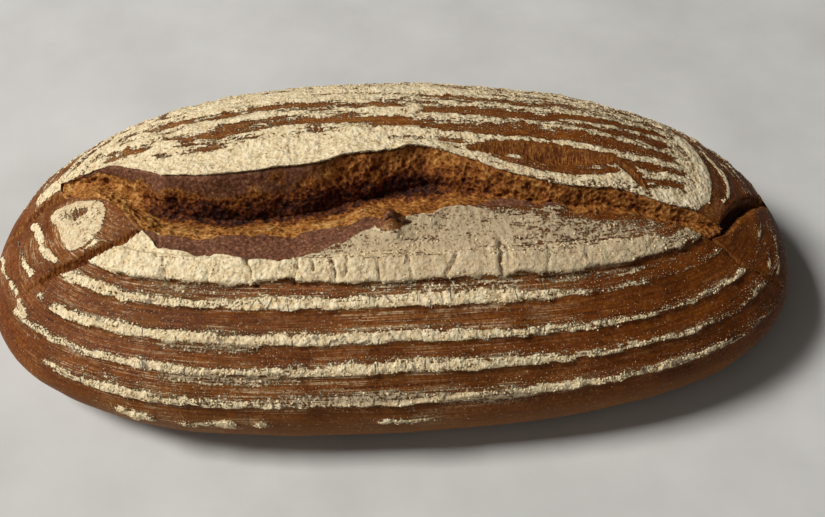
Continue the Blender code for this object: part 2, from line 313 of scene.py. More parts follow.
def lip_lift(x, front, distance):
    """How far the ear at the back lip, or the torn flap at the front one, lifts the skin near it."""
    ear = at(EAR_LIFT, x) * np.clip(1 - distance / EAR_REACH, 0, 1) ** 2
    flap = at(FLAP_LIFT, x) * np.clip(1 - distance / FLAP_REACH, 0, 1) ** 1.5
    return np.where(front, flap, ear)


def section(x, share):
    """The torn surface at a station: y and z for shares from the back lip, over the foot, to the front."""
    back_y, front_y = back_edge(x), front_edge(x)
    wall = at(WALL_HEIGHT, x)
    foot_y = back_y - np.minimum(follow(WALL_LEAN, x / MM) * wall, (back_y - front_y) * 0.6)
    back_z, front_z = dome_height(x, back_y), dome_height(x, front_y)
    foot_z = back_z - wall
    skin = np.minimum(at(SKIN_WIDTH, x), (foot_y - front_y) * 0.6)
    shelf_y, shelf_z = front_y + skin, front_z + SHELF_RISE * skin
    up = np.clip(1 - share / FOOT_SHARE, 0, 1)
    out = np.clip((share - FOOT_SHARE) / (1 - FOOT_SHARE), 0, 1)
    y = foot_y + (back_y - foot_y) * up**WALL_ROUND + (front_y - foot_y) * out
    away = np.clip((foot_y - y) / np.maximum(foot_y - shelf_y, MM), 0, 1)
    ramp_z = foot_z + (shelf_z - foot_z) * step_between(away**RAMP_POWER, 0, 1)
    on_shelf = np.clip((shelf_y - y) / np.maximum(skin, 0.1 * MM), 0, 1)
    z = np.where(share < FOOT_SHARE, foot_z + (back_z - foot_z) * up, ramp_z + (front_z - shelf_z) * on_shelf)
    ear = at(EAR_LIFT, x) * up**2
    flap = at(FLAP_LIFT, x) * np.clip(1 - (y - front_y) / FLAP_THICK, 0, 1)
    return y - EAR_LEAN * ear - FLAP_LEAN * flap, z + ear + flap


print("deepest point of the split, mm:", max(height for _, height in WALL_HEIGHT))

# %% [markdown]
# ## The grid of the crust
#
# Columns run from the middle of the split over a lip, across the dome and down to the foot, like the
# seams of a ball. The photograph shows the front, so most columns go there. Rows follow the lips at
# first and the basket's rings further out, so relief along either stays crisp.

# %% Rows and columns
FRONT_COLUMNS, BACK_COLUMNS = 470, 200
VALLEY_ROWS, SHOULDER_ROWS, RING_ROWS, UNDER_ROWS = 7, 62, 62, 16
COLUMNS = FRONT_COLUMNS + BACK_COLUMNS
JOIN_RING = 0.412
RIGHT_END_ANGLE, LEFT_END_ANGLE = math.radians(-19), math.radians(170.6)
CRUST_EDGE = 2.2 * MM  # how far the crust's own split lies below the crumb that covers it


def ring_angle(turn):
    """The ring angle at which each column goes on: straight out where the split ends."""
    right = RIGHT_END_ANGLE * np.clip(np.cos(turn), 0, 1) ** 2
    left = (LEFT_END_ANGLE - math.pi) * np.clip(-np.cos(turn), 0, 1) ** 2
    return turn + right + left


def smooth_crust(turn):
    """Rows of points from the lips to the foot, and the lift that the lips give to each."""
    x = SPLIT_ENDS.mean() + np.ptp(SPLIT_ENDS) / 2 * np.cos(turn)
    front = np.sin(turn) < 0
    lip_y = np.where(front, front_edge(x), back_edge(x))
    lean = np.where(front, FLAP_LEAN, EAR_LEAN)
    joined = crust_point(np.float64(JOIN_RING), ring_angle(turn))
    rows = []
    for share in np.linspace(0, 1, SHOULDER_ROWS + 1)[:-1] ** 1.15:
        row_x = x + (joined[:, 0] - x) * share
        row_y = lip_y + (joined[:, 1] - lip_y) * share
        lift = lip_lift(x, front, np.hypot(row_x - x, row_y - lip_y))
        rows.append(np.stack([row_x, row_y - lean * lift, dome_height(row_x, row_y) + lift], axis=-1))
    rings = np.concatenate([
        np.linspace(JOIN_RING, WIDEST_RING, RING_ROWS, endpoint=False),
        np.linspace(WIDEST_RING, 1, UNDER_ROWS),
    ])
    rows += [crust_point(ring, ring_angle(turn)) for ring in rings]
    return np.array(rows)


def even_turns(first, last, count):
    """Turns between two, spaced evenly along a ring half-way down the dome."""
    fine = np.linspace(first, last, 20000)
    line = crust_point(np.float64(0.5), ring_angle(fine))
    run = np.concatenate([[0], np.cumsum(np.linalg.norm(np.diff(line, axis=0), axis=1))])
    return np.interp(np.linspace(0, run[-1], count, endpoint=False), run, fine)


turn = np.concatenate([
    even_turns(0, math.pi, BACK_COLUMNS),
    even_turns(math.pi, 2 * math.pi, FRONT_COLUMNS),
])
crust = smooth_crust(turn)
print("crust rows and columns:", crust.shape[:2])

# %% [markdown]
# ## An address for every point
#
# The ring number and the bearing come back from the plan position. Past the widest line the plan
# repeats itself, so there the ring number is read from the row instead. Ring space wraps the bearing
# round a circle, so that streaks drawn in it run along the rings and close without a seam.

# %% Ring numbers and bearings
STREAK_RADIUS = 110 * MM


def outward(grid):
    """Normals of a grid whose columns close round the loaf."""
    around = np.roll(grid, -1, axis=1) - np.roll(grid, 1, axis=1)
    normal = np.cross(np.gradient(grid, axis=0), around)
    return normal / np.maximum(np.linalg.norm(normal, axis=-1, keepdims=True), 1e-12)


ring = ring_at(crust[..., 0], crust[..., 1])
ring[-UNDER_ROWS:] = np.linspace(WIDEST_RING, 1, UNDER_ROWS)[:, None]
bearing = bearing_at(crust[..., 0], crust[..., 1], np.maximum(profile(ring)[0], 1e-4))
ring_space = np.stack([
    STREAK_RADIUS * np.cos(np.radians(bearing)),
    STREAK_RADIUS * np.sin(np.radians(bearing)),
    ring * RING_STEP * MM,
], axis=-1)
print("ring numbers run from", round(float(ring.min()), 3), "to", float(ring.max()))

# %% [markdown]
# ## Cuts and tears in the crust
#
# Besides the split, the baker's blade and the oven left side cuts: two at the left end, a deep one
# and a shallow crease at the right, and a long lens behind the ear where the skin opened again. Each
# is a line along the crust. A point near the line sinks, and remembers how far inside the cut it is.

# %% The cuts
# Stations (x, y), half-width and depth in millimetres, and how slowly each end tapers
CUTS = {
    "left upper": (((-112, 7), (-120, 10.5), (-127, 11), (-136, 6.5), (-145, 2)), 3.0, 2.6, 0.5),
    "left lower": (((-85, -15), (-97, -20.5), (-109, -23.6), (-120, -25), (-133, -28)), 2.4, 3.4, 0.6),
    "right upper": (((110, -21), (118, -16), (127, -5), (137, 5), (144, 10)), 3.2, 5.0, 0.5),
    "right lower": (((108, -20), (116, -23), (124, -28), (140, -29)), 1.0, 1.4, 0.5),
    "back opening": (((28, 5.6), (36, 6.0), (46, 5.4), (58, 4.2), (70, 4.2), (80, 5.2)), 4.8, 2.8, 0.75),
    "cross tear": (((80, 5), (85, 1), (90, -6)), 2.2, 1.0, 0.6),
}
CUT_STEPS = 60


def cut_line(stations):
    """Points along a cut on the dome, and the share of the way at each."""
    knots = np.array(stations, float)
    run = np.concatenate([[0], np.cumsum(np.hypot(*np.diff(knots, axis=0).T))])
    share = np.linspace(0, 1, CUT_STEPS)
    x = follow(np.stack([run, knots[:, 0]], axis=1), share * run[-1]) * MM
    y = follow(np.stack([run, knots[:, 1]], axis=1), share * run[-1]) * MM
    return np.stack([x, y, dome_height(x, y)], axis=-1), share


def cut_fields(grid):
    """How deep the cuts sink each point, and how far inside a cut it is, both in metres."""
    sunk, inside = np.zeros(grid.shape[:2]), np.full(grid.shape[:2], -9 * MM)
    for stations, half_width, depth, taper in CUTS.values():
        line, share = cut_line(stations)
        near = np.full(grid.shape[:2], 9.0)
        where = np.zeros(grid.shape[:2])
        for place, part in zip(line, share):
            gap = np.linalg.norm(grid - place, axis=-1)
            where = np.where(gap < near, part, where)
            near = np.minimum(gap, near)
        swell = np.sin(math.pi * (0.04 + 0.92 * where)) ** taper
        edge = half_width * MM * swell
        ragged = near + 0.35 * MM * lumps(grid, 3 * MM, 11)
        sunk = np.maximum(sunk, depth * MM * swell * (1 - step_between(ragged / edge, 0.25, 1.1)))
        inside = np.maximum(inside, edge - ragged)
    return sunk, inside


sunk, torn = cut_fields(crust)
print("points inside a cut:", int((torn > 0).sum()))

# %% [markdown]
# ## Where the flour lies
#
# Each basket ring pressed a strip of caked flour into the dough. A strip has a thick lower edge that
# breaks off sharply and an upper side that fades to dust. Its strength changes with the bearing:
# heavy at the front left, thin at the right.

# %% Flour strips
# Upper and lower ring number, fade above in mm, then (bearing, amount): 1 is caked and 0 is bare
STRIPS = (
    (0.292, 0.345, 1.2, (
        (90, 0.8), (150, 1.0), (171, 0.9), (178, 0.2), (200, 0.5), (212, 1.3), (300, 1.2), (310, 0.95),
        (320, 0.7), (331, 0.62), (338, -0.5), (350, -0.8), (372, 0.0), (395, 0.7), (450, 0.8),
    )),
    (0.370, 0.400, 2.4, (
        (90, 0.8), (150, 1.0), (170, 0.8), (178, 0.2), (196, 0.3), (205, 0.9), (225, 1.0), (245, 0.75),
        (255, 1.0), (280, 1.0), (292, 0.62), (305, 0.45), (320, 0.2), (330, 0.5), (338, -0.3), (350, -0.5),
        (380, 0.5), (450, 0.8),
    )),
    (0.450, 0.480, 2.2, (
        (90, 0.8), (160, 0.7), (180, 0.3), (198, 0.3), (202, 0.8), (205, 0.1), (207, 0.6), (210, 0.0),
        (214, 1.0), (245, 0.95), (262, 1.15), (276, 1.05), (288, 0.7), (305, 0.6), (322, 0.62),
        (331, 0.75), (338, 0.0), (352, 0.4), (375, 0.5), (450, 0.8),
    )),
    (0.525, 0.556, 2.6, (
        (90, 0.7), (180, 0.4), (199, 0.8), (210, 0.9), (222, 0.75), (232, 1.05), (245, 0.7), (262, 1.0),
        (283, 0.95), (294, 0.6), (318, 0.55), (332, 0.6), (342, 0.1), (360, 0.3), (450, 0.7),
    )),
    (0.612, 0.652, 3.6, (
        (90, 0.5), (190, 0.0), (213, -0.3), (224, 0.6), (234, 1.05), (252, 0.95), (262, 0.8), (283, 1.0),
        (292, 0.75), (312, 0.55), (328, 0.4), (345, 0.0), (450, 0.5),
    )),
    (0.700, 0.745, 1.2, (
        (90, -0.2), (232, -0.7), (236, 0.9), (241, 1.0), (243.5, -0.3), (246, 0.9), (250, 0.3), (252.5, 1.0),
        (254.5, -0.4), (256.5, 0.9), (259, -0.5), (267, -0.3), (269.5, 0.9), (272, 0.8), (275, -0.6),
        (300, -0.6), (330, -0.8), (450, -0.2),
    )),
)
BARE = -1.0


def strips(ring, bearing, wander, vary):
    """The amount of flour that the basket's rings leave: about 1 is caked, 0 is the edge of bare crust."""
    amount = np.full(ring.shape, BARE)
    for upper, lower, fade, strength in STRIPS:
        above = (lower - ring) * RING_STEP + wander  # millimetres above the lower edge
        thick = (lower - upper) * RING_STEP
        there = follow(strength, bearing) + vary * (lower - 0.2)
        sharp = step_between(above, -0.6, 0.5)
        full = thick * (0.25 + 0.7 * np.clip(there, 0, 1))
        thinning = 0.38 * step_between(above, full - 1.4, full + 0.6)
        thinning = thinning + 0.62 * step_between(above, full, full + 2.2 * fade)
        amount = np.maximum(amount, BARE + (there - BARE) * sharp * (1 - thinning))
    return amount


# %% [markdown]
# Behind the ear the dough lay against the basket's middle, so flour covers nearly everything there,
# and the canes show as bare lines instead. They run side by side and gather in a thick bend at the
# right end. A line is a few plan stations, a half-width and what it adds to the flour or takes away.

# %% Lines drawn in flour, and bare lines
# Stations (x, y) and half-width in millimetres, then the amount of flour
FLOUR_LINES = (
    (((-132.5, 1.5), (-129.5, -4), (-127, -9.5)), 1.7, 1.1),
    (((-126, -12.5), (-123, -16.5), (-119, -20.5)), 1.6, 1.15),
    (((-139, -2), (-136, -8), (-133, -15), (-129, -21.5)), 1.0, 0.5),
    (((-133, -15.5), (-131, -18.5), (-129, -21.5)), 0.9, 0.9),
    (((-146, -4), (-142, -14), (-138, -20), (-133.5, -28), (-129.5, -36.5)), 1.0, 0.85),
    (((0, 7.0), (10, 7.0), (17.5, 4.9), (24, 3.4), (30, 1.8), (36, 0), (40, -2.2), (50, -5.2), (60, -6.0),
      (73, -4.6), (84, -2.6)), 1.5, 1.1),
    (((42, -3.2), (50, -5.4), (60, -6.2), (73, -5.0), (80, -3.6)), 2.1, 1.1),
    (((0, 13.4), (18, 12.6), (40, 11.8), (56, 11.2), (64, 9.8), (72, 8.8), (80, 7.6), (92, 7.6),
      (104, 8.2)), 1.5, 1.0),
    (((20, 21.4), (40, 21.8), (60, 19.4), (76, 17.0), (90, 16.0), (106, 15.4)), 1.2, 0.8),
    (((62, 23.6), (80, 23.4), (104, 23.2)), 1.3, 0.8),
    (((20, 33), (40, 32), (60, 30), (84, 29.6), (106, 29)), 1.7, 0.8),
    (((111, 27), (114.5, 18), (115.5, 10), (114.5, 2), (111, -5), (104, -9.6), (94, -9.4)), 2.8, 1.9),
    (((108, 12), (111, 8), (110.5, 2), (107, -3)), 2.6, 0.85),
    (((119.5, 24), (123.5, 16), (125.5, 9), (124.5, 3), (121, -3)), 1.3, 0.9),
    (((128, 22), (132, 15), (133.5, 8)), 1.0, 0.8),
    (((133, -9), (135.5, -13), (136, -19), (135, -25)), 1.1, 0.75),
    (((139, -4), (141, -11), (140.5, -19), (139, -25)), 1.0, 0.7),
    (((88, 0.6), (98, 1.0), (108, 2)), 1.2, 0.85),
    (((89, -6.9), (97, -6.6), (105, -5.2)), 1.2, 0.9),
    (((48, -0.9), (62, -1.0), (78, 0.2)), 0.6, 0.5),
)
BARE_LINES = (
    (((-105, 20.5), (-85, 20.6), (-68, 20.4), (-45, 21.5), (-20, 21.6), (0, 20), (14, 18.2), (30, 16.6),
      (48, 15.6), (60, 14.2), (72, 12.4), (85, 12.2), (105, 12)), 2.7, 1.3),
    (((-62, 24), (-40, 24.8), (-18, 24.6)), 2.0, 0.7),
    (((-84, 12.4), (-72, 12.6), (-60, 12.8)), 1.6, 0.8),
    (((-80, 27.6), (-72, 28)), 1.6, 0.9),
    (((-88, 33), (-70, 32), (-50, 32.6), (-20, 32.6), (0, 30.5), (14, 27.4), (28, 27.2), (42, 26.4), (54, 25),
      (64, 26.4), (80, 27), (103, 26.4)), 2.6, 1.3),
    (((-60, 42.5), (-30, 42.5), (0, 41), (20, 38.5), (36, 37), (50, 35)), 1.8, 1.0),
    (((-118, 23), (-108, 24.5), (-96, 24)), 1.4, 0.9),
    (((-116, 31), (-104, 33.5), (-92, 34)), 1.3, 1.0),
    (((-108, 40), (-94, 43), (-76, 43)), 1.4, 1.0),
    (((60, 18), (76, 20), (90, 20), (106, 19.6)), 1.6, 1.2),
    (((84, 4.4), (94, 4.2), (105, 5.0)), 1.9, 1.5),
    (((88, -2.6), (98, -2.6), (106, -1.8)), 1.6, 1.4),
    (((0, 9.6), (14, 9.6), (24, 8.6), (32, 8.0)), 1.3, 1.1),
    (((36, 1.4), (44, -0.6), (56, -2.2), (70, -2.0), (79, -0.6)), 2.0, 1.6),
    (((-20, 52), (20, 50), (60, 43), (92, 36)), 1.2, 0.6),
)


print("floured lines:", len(FLOUR_LINES), "and bare lines:", len(BARE_LINES))

# %% How near a line is
LINE_STEPS = 40


def smooth_line(stations, steps):
    """Points along a smooth plan line through stations."""
    knots = np.array(stations, float)
    run = np.concatenate([[0], np.cumsum(np.hypot(*np.diff(knots, axis=0).T))])
    where = np.linspace(0, run[-1], steps)
    return [follow(np.stack([run, knots[:, axis]], axis=1), where) for axis in (0, 1)]


def near_line(x, y, stations, steps=LINE_STEPS):
    """Plan distance in millimetres from each point to a smooth line through stations."""
    line_x, line_y = smooth_line(stations, steps)
    near = np.full(x.shape, 99.0)
    for k in range(steps - 1):
        along_x, along_y = line_x[k + 1] - line_x[k], line_y[k + 1] - line_y[k]
        share = ((x - line_x[k]) * along_x + (y - line_y[k]) * along_y) / (along_x**2 + along_y**2)
        share = np.clip(share, 0, 1)
        near = np.minimum(near, np.hypot(x - line_x[k] - share * along_x, y - line_y[k] - share * along_y))
    return near


def inside_outline(x, y, outline, steps=2 * LINE_STEPS):
    """Plan distance in millimetres to a closed outline, below 0 outside it."""
    closed = outline + outline[:1]
    line_x, line_y = smooth_line(closed, steps)
    inside = np.zeros(x.shape, bool)
    for k in range(steps - 1):
        level = (line_y[k] > y) != (line_y[k + 1] > y)
        rise = np.where(level, line_y[k + 1] - line_y[k], 1)
        inside ^= level & (x < line_x[k] + (y - line_y[k]) / rise * (line_x[k + 1] - line_x[k]))
    return near_line(x, y, closed, steps) * np.where(inside, 1, -1)


print("a line is followed in", LINE_STEPS, "steps")

# %% [markdown]
# Some flour lies in patches: the lobe between the left cuts, a speck in the lens, and the dusty zone
# between the front lip and the first strip, whose edge follows the torn lip.

# %% Patches, powder and bare spots
# Middle x and y, half-lengths in mm, turn in degrees, and amount
PATCHES = (
    (-127.0, 18.5, 10.5, 5.5, 32, 1.0),
    (43.8, 3.6, 3.0, 2.1, 0, 2.4),
    (9.5, 27.5, 3.2, 2.6, 0, 1.2),
)
LENS_SPECK = 1  # the patch that lies inside the lens
LOBE = (
    (-125.5, 1.1), (-122.8, 3.9), (-117, 3.8), (-111.5, 2.6), (-106.5, 0.6), (-103, -2.5), (-102, -7.9),
    (-102.6, -13.4), (-106, -17.2), (-111.5, -19.3), (-116, -17.2), (-118.6, -11.5), (-121, -6), (-124, -2),
)
LOBE_AMOUNT = 1.05
# Thin powder: middle x in mm and ring number, half-length in mm and in ring numbers, and amount
POWDERY = (
    (-64, 0.487, 26, 0.016, 0.4), (-56, 0.568, 26, 0.020, 0.55), (-12, 0.626, 34, 0.024, 0.6),
    (30, 0.655, 20, 0.020, 0.5), (-66, 0.360, 22, 0.020, 0.35), (22, 0.358, 40, 0.012, 0.5),
    (70, 0.362, 30, 0.010, 0.4),
)
FRONT_POWDER = (0.283, 0.291)  # ring numbers between which the powder in front of the lip turns to cake
BARE_SPOTS = (
    (-115.5, -2.2, 6.0, 2.8, -10, 0.5), (-110.0, -5.5, 6.5, 4.2, -20, 0.35), (4.5, 19.2, 4.5, 1.5, -6, 1.5),
    (-1.5, -25.2, 5.0, 3.8, 0, 2.8), (41.0, -19.0, 12.0, 2.0, 6, 0.6), (70.0, -19.5, 14.0, 2.2, 2, 0.7),
    (-87.5, 46.0, 1.8, 7.0, 8, 0.9), (-68.0, 20.0, 2.0, 1.6, 0, 1.0),
)
# The dusty zone in front: the amount of flour along the loaf, and how far up it reaches at the left
FRONT_AMOUNT = (
    (-124, 0.2), (-112, 0.9), (-95, 1.2), (-55, 1.15), (-44, 0.7), (-25, 0.72), (0, 0.85), (30, 0.85),
    (50, 0.66), (70, 0.55), (88, 0.35), (98, -0.2), (118, -1),
)
DUSTY_EDGE = ((-112, -26), (-104, -23.5), (-97, -21.5), (-90, -18.2), (-84, -12), (-76, 0), (118, 0))
# Behind the ear: the amount along the loaf, and the y up to which it stays solid
BACK_AMOUNT = (
    (-126, 0.6), (-112, 0.95), (-92, 1.15), (-5, 1.15), (8, 1.05), (30, 0.75), (60, 0.6), (100, 0.65),
    (118, 0.9),
)
PALE_BAND = ((-100, 17), (-85, 11), (-60, 10), (-30, 12), (0, 12), (10, 10))
NOWHERE = -9  # millimetres inside an area, for a point that is never in it
EAR_COVER = 4.5  # the ear leans forward, so its flour starts this far in front of the smooth lip
FLAP_COVER, DUSTY_START, DUSTY_END = 4, -111, 113
LOOSE_FADE = -0.8, 0.9  # millimetres inside an area at which its flour starts, and is all there
print("patches:", len(PATCHES), "powdery areas:", len(POWDERY), "bare spots:", len(BARE_SPOTS))

# %% How far inside an area a point is
def soft_oval(x, y, patch):
    """How far inside an oval each point lies, in mm."""
    middle_x, middle_y, half_x, half_y, degrees, _ = patch
    c, s = math.cos(math.radians(degrees)), math.sin(math.radians(degrees))
    across = ((x - middle_x) * c + (y - middle_y) * s) / half_x
    along = (-(x - middle_x) * s + (y - middle_y) * c) / half_y
    return (1 - np.hypot(across, along)) * min(half_x, half_y)


def in_powder(x, ring, area):
    """How far inside a powdery area each point lies, from 1 in the middle to 0 at the edge."""
    middle_x, middle_ring, half_x, half_ring, _ = area
    return 1 - np.hypot((x - middle_x) / half_x, (ring - middle_ring) / half_ring)


def laid(amount, inside):
    """An amount of flour that ends softly where inside drops below 0."""
    return BARE + (amount - BARE) * step_between(inside, *LOOSE_FADE)


print("flour fades in over", LOOSE_FADE[1] - LOOSE_FADE[0], "mm")

# %% [markdown]
# One function lays it all: the back first, then what the canes scraped off it, then the strips, the
# dusty zone, the drawn lines and the patches. The larger amount wins where two overlap, and the bare
# spots are taken out last. Noise makes every edge wander, because flour never lies along a ruled line.

# %% All the flour together
def flour_amount(x, y, ring, bearing, wander, streak, fine_streak, vary):
    """All the flour at a plan point in millimetres. More than 0 shows, and 1 is a cake."""
    back_lip, front_lip = follow(BACK_LIP, x), follow(FRONT_LIP, x)
    back = np.minimum.reduce([y - back_lip + EAR_COVER, (0.298 - ring) * RING_STEP + wander, 118 - x])
    back = np.where((x < -122) & (y < 15 - 0.25 * (x + 122)), NOWHERE, back)
    beyond = step_between(y - follow(PALE_BAND, x), 0, 5) * step_between(x, -108, -98)
    amount = laid(follow(BACK_AMOUNT, x), back) - 0.24 * beyond + 0.65 * fine_streak * np.maximum(beyond, 0.1)
    amount = amount + 0.5 * step_between(y, 34, 43)
    for stations, half, taken in BARE_LINES:
        near = near_line(x, y, stations) + 0.9 * wander
        amount = amount - taken * streak * (1 - step_between(near, half * 0.1, half * 1.35))
    in_strips = strips(ring, bearing, wander, vary)
    between_cuts = (x < -98) & (bearing > 172) & (bearing < 208) & (y > -25 + 0.3 * (x + 110))
    amount = np.maximum(amount, np.where(between_cuts, BARE, in_strips))
    above_strips = (STRIPS[0][0] - ring) * RING_STEP + 1.5
    edges = front_lip - y + FLAP_COVER, follow(DUSTY_EDGE, x) - y + wander, above_strips, DUSTY_END - x
    dusty = np.minimum.reduce(edges)
    dusty = np.where((x > DUSTY_START) & (y < 0), dusty, NOWHERE)
    amount = np.maximum(amount, laid(follow(FRONT_AMOUNT, x), dusty))
    for stations, half, added in FLOUR_LINES:
        amount = np.maximum(amount, laid(added, half - near_line(x, y, stations) + 0.6 * wander))
    for patch in PATCHES:
        amount = np.maximum(amount, laid(patch[-1], soft_oval(x, y, patch) + 0.8 * wander))
    amount = np.maximum(amount, laid(LOBE_AMOUNT, inside_outline(x, y, LOBE) + 0.5 * wander))
    for area in POWDERY:
        inside = np.where(y < 0, in_powder(x, ring, area), -1)
        amount = np.maximum(amount, BARE + (area[-1] - BARE) * step_between(inside + 0.2 * wander, -0.5, 0.5))
    for spot in BARE_SPOTS:
        amount = amount - spot[-1] * step_between(soft_oval(x, y, spot), -0.6, 0.8)
    return np.maximum(amount, BARE)


# %% Lay the flour on the crust
plan_x, plan_y = crust[..., 0] / MM, crust[..., 1] / MM
wander = 0.8 * lumps(ring_space, 24 * MM, 21) + 0.6 * lumps(crust, 7 * MM, 22)
wander = wander + 0.75 * lumps(crust, 3.2 * MM, 25)
streak = 0.8 + 0.55 * lumps(crust * np.array([0.22, 1.4, 1]), 3 * MM, 23, layers=2)
fine_streak = lumps(crust * np.array([0.13, 1, 1]), 1.8 * MM, 26, layers=2)
vary = 0.9 * lumps(ring_space * np.array([1, 1, 3.0]), 17 * MM, 24, layers=2)
flour = flour_amount(plan_x, plan_y, ring, bearing, wander, streak, fine_streak, vary)
speck = laid(PATCHES[LENS_SPECK][-1], soft_oval(plan_x, plan_y, PATCHES[LENS_SPECK]))
flour = np.where(torn > -0.3 * MM, speck, flour)
is_front = (np.arange(COLUMNS) >= BACK_COLUMNS)[None, :]
# Powder is flour that lies thin: in front of the lip, in the powdery areas and over the first strip.
# Over the first strip's middle and right its grey is also painted shade, as the band faces from the light
powder_and_shade = (1 - step_between(ring + 0.003 * wander, *FRONT_POWDER)) * step_between(plan_x, -62, -40)
for area in POWDERY:
    powder_and_shade = np.maximum(powder_and_shade, step_between(in_powder(plan_x, ring, area) + 0.2 * wander, -0.1, 0.5))
thin_and_shaded_band = 0.75 * step_between(plan_x, -60, 20) * (ring < 0.35)
powder_and_shade = np.maximum(powder_and_shade, thin_and_shaded_band) * is_front
powder_and_shade = np.maximum(powder_and_shade, 0.35 * step_between(inside_outline(plan_x, plan_y, LOBE), -1, 1))
print("share of the crust under flour:", round(float((flour > 0).mean()), 2))

# %% [markdown]
# ## Relief
#
# Now the smooth crust gets its depth. Floured strips stand out as rounded ridges, because the dough
# bulged between the canes. Caked flour adds a lumpy layer on top, the first strip in front is broken
# into blocks, and the cuts sink in. Everything moves along the smooth crust's own normals.

# %% Ridges and cracks
RIDGE_HEIGHT, CAKE_HEIGHT = 0.7 * MM, 0.7 * MM
# Cracks in the first front strip: station, lean, half-width in mm, and the first and last ring number
CRACKS = (
    (-97, 0.5, 0.15, 0.25, 0.3), (-78, 0.25, 0.2, 0.296, 0.35), (-62, -0.2, 0.1, 0.31, 0.35),
    (-48, 0.3, 0.4, 0.288, 0.35), (-33, -0.25, 0.25, 0.292, 0.35), (-27.5, 0.1, 0.2, 0.287, 0.325),
    (-20.5, 0.12, 0.3, 0.292, 0.35), (-16.5, -0.1, 0.2, 0.29, 0.34), (-6, 0.25, 0.1, 0.3, 0.345),
    (5, 0.08, 0.15, 0.292, 0.35), (18, -0.4, 0.2, 0.295, 0.35), (35, 0.1, 0.45, 0.262, 0.35),
    (37.6, 0.15, 0.15, 0.266, 0.32), (51, -0.2, 0.15, 0.292, 0.35), (64, 0.2, 0.1, 0.3, 0.33),
)
CRACK_DEPTH, NO_CRACK, FIRST_LEDGE = 1.0 * MM, -4.0, 1.5 * MM
UNEVEN = ((38 * MM, 0.8 * MM, 31), (13 * MM, 0.35 * MM, 32), (5 * MM, 0.12 * MM, 33))


def ridges(ring, bearing):
    """A ledge under each strip: it swells downwards and drops off sharply at the lower edge."""
    total = np.zeros(ring.shape)
    for upper, lower, _, strength in STRIPS:
        ledge = step_between(ring, upper - 0.03, lower - 0.012)
        ledge = ledge * (1 - step_between(ring, lower - 0.004, lower + 0.009))
        total = np.maximum(total, ledge * np.clip(follow(strength, bearing), 0.3, 1.2))
    return total * RIDGE_HEIGHT


def crack_field(x, ring, wobble):
    """How far inside a crack of the first front strip each point is, in mm."""
    inside = np.full(x.shape, NO_CRACK)
    down = (ring - 0.32) * RING_STEP
    for place, lean, half, first, last in CRACKS:
        gap = half - np.abs(x - place - lean * down + wobble)
        ends = step_between(ring, first - 0.008, first + 0.004)
        ends = ends * (1 - step_between(ring, last - 0.004, last + 0.004))
        inside = np.maximum(inside, NO_CRACK + (gap - NO_CRACK) * ends)
    return inside


print("cracks in the first strip:", len(CRACKS))

# %% Push the crust into relief
# Ring numbers between which the first strip rises and drops, and bearings between which it starts and ends
STRIP_TOP, STRIP_FOOT, STRIP_START, STRIP_END = (0.288, 0.296), (0.342, 0.348), (205, 218), (322, 336)
normal = outward(crust)
fade_under = (1 - step_between(ring, 0.86, 0.99))[..., None]
cake = step_between(flour + 0.35 * lumps(crust, 2.2 * MM, 41, layers=2), 0.15, 0.9)
cake = cake * (0.8 + 0.5 * lumps(crust, 3.0 * MM, 42) + 0.55 * lumps(crust, 1.9 * MM, 46))
cake = cake * (1 - 0.7 * powder_and_shade)
cracks = crack_field(plan_x, ring, 0.9 * lumps(crust, 5 * MM, 43) + 0.55 * lumps(crust, 1.8 * MM, 44))
cracks = cracks + 0.25 * lumps(crust, 1.3 * MM, 47)
cracks = np.where((bearing > 205) & (bearing < 335) & (plan_y < 0), cracks, NO_CRACK)
wandered = ring - wander / RING_STEP  # the relief follows the flour's wandering edges
first_strip = step_between(ring + 0.002 * lumps(crust, 4 * MM, 48), *STRIP_TOP)
first_strip = first_strip * (1 - step_between(wandered, *STRIP_FOOT))
first_strip = first_strip * step_between(bearing, *STRIP_START) * (1 - step_between(bearing, *STRIP_END))
breaks = sorted(place for place, *_ in CRACKS)
block = 0.75 + 0.5 * cell_number(np.stack([np.searchsorted(breaks, plan_x)] * 3, axis=-1), 45)
height = ridges(wandered, bearing) + CAKE_HEIGHT * cake + FIRST_LEDGE * first_strip * block - sunk
height = height - CRACK_DEPTH * step_between(cracks, -0.7, 0.3)
for size, amount, seed in UNEVEN:
    height = height + amount * lumps(crust, size, seed)
crust = crust + normal * (height[..., None] * fade_under)
crust[..., 2] = np.maximum(crust[..., 2], 0)
print("relief from", round(float(height.min()) / MM, 2), "to", round(float(height.max()) / MM, 2), "mm")

# %% Where loose flour lies
# How likely a lump of caked flour, or a loose grain, is to lie at each point
on_strips = step_between(ring, 0.25, 0.29) * (plan_y < 0)
edge = step_between(flour, 0.25, 0.6) * (1 - 0.75 * step_between(flour, 0.85, 1.1))
lumpy = 0.15 + 0.35 * on_strips + 0.3 * step_between(plan_y, 30, 42)
cake_cover = edge * lumpy * (1 - 0.6 * powder_and_shade) * (cracks < -0.4) * (ring < 0.8)
dust_cover = step_between(flour, -0.95, 0.2) * (1 - step_between(flour, 0.3, 0.7)) * (torn < -0.2 * MM)
dust_cover = np.maximum(dust_cover, 0.05 * (torn < 0)) * (ring < 0.85)
# A haze of loose flour round everything that is floured, thin at the right and in the third gap
under_flour = (flour > 0.3).astype(float)
shifts = list(itertools.product(range(-6, 7, 2), range(-15, 16, 3)))  # rows and columns of the grid
haze = sum(np.roll(under_flour, shift, axis=(0, 1)) for shift in shifts) / len(shifts)
haze = haze * (1 - 0.75 * step_between(plan_x, 20, 80))
clean_gap = step_between(ring, 0.478, 0.488) * (1 - step_between(ring, 0.52, 0.53)) * (plan_y < 0)
haze = haze * (1 - 0.6 * clean_gap)
print("mean haze:", round(float(haze.mean()), 2))

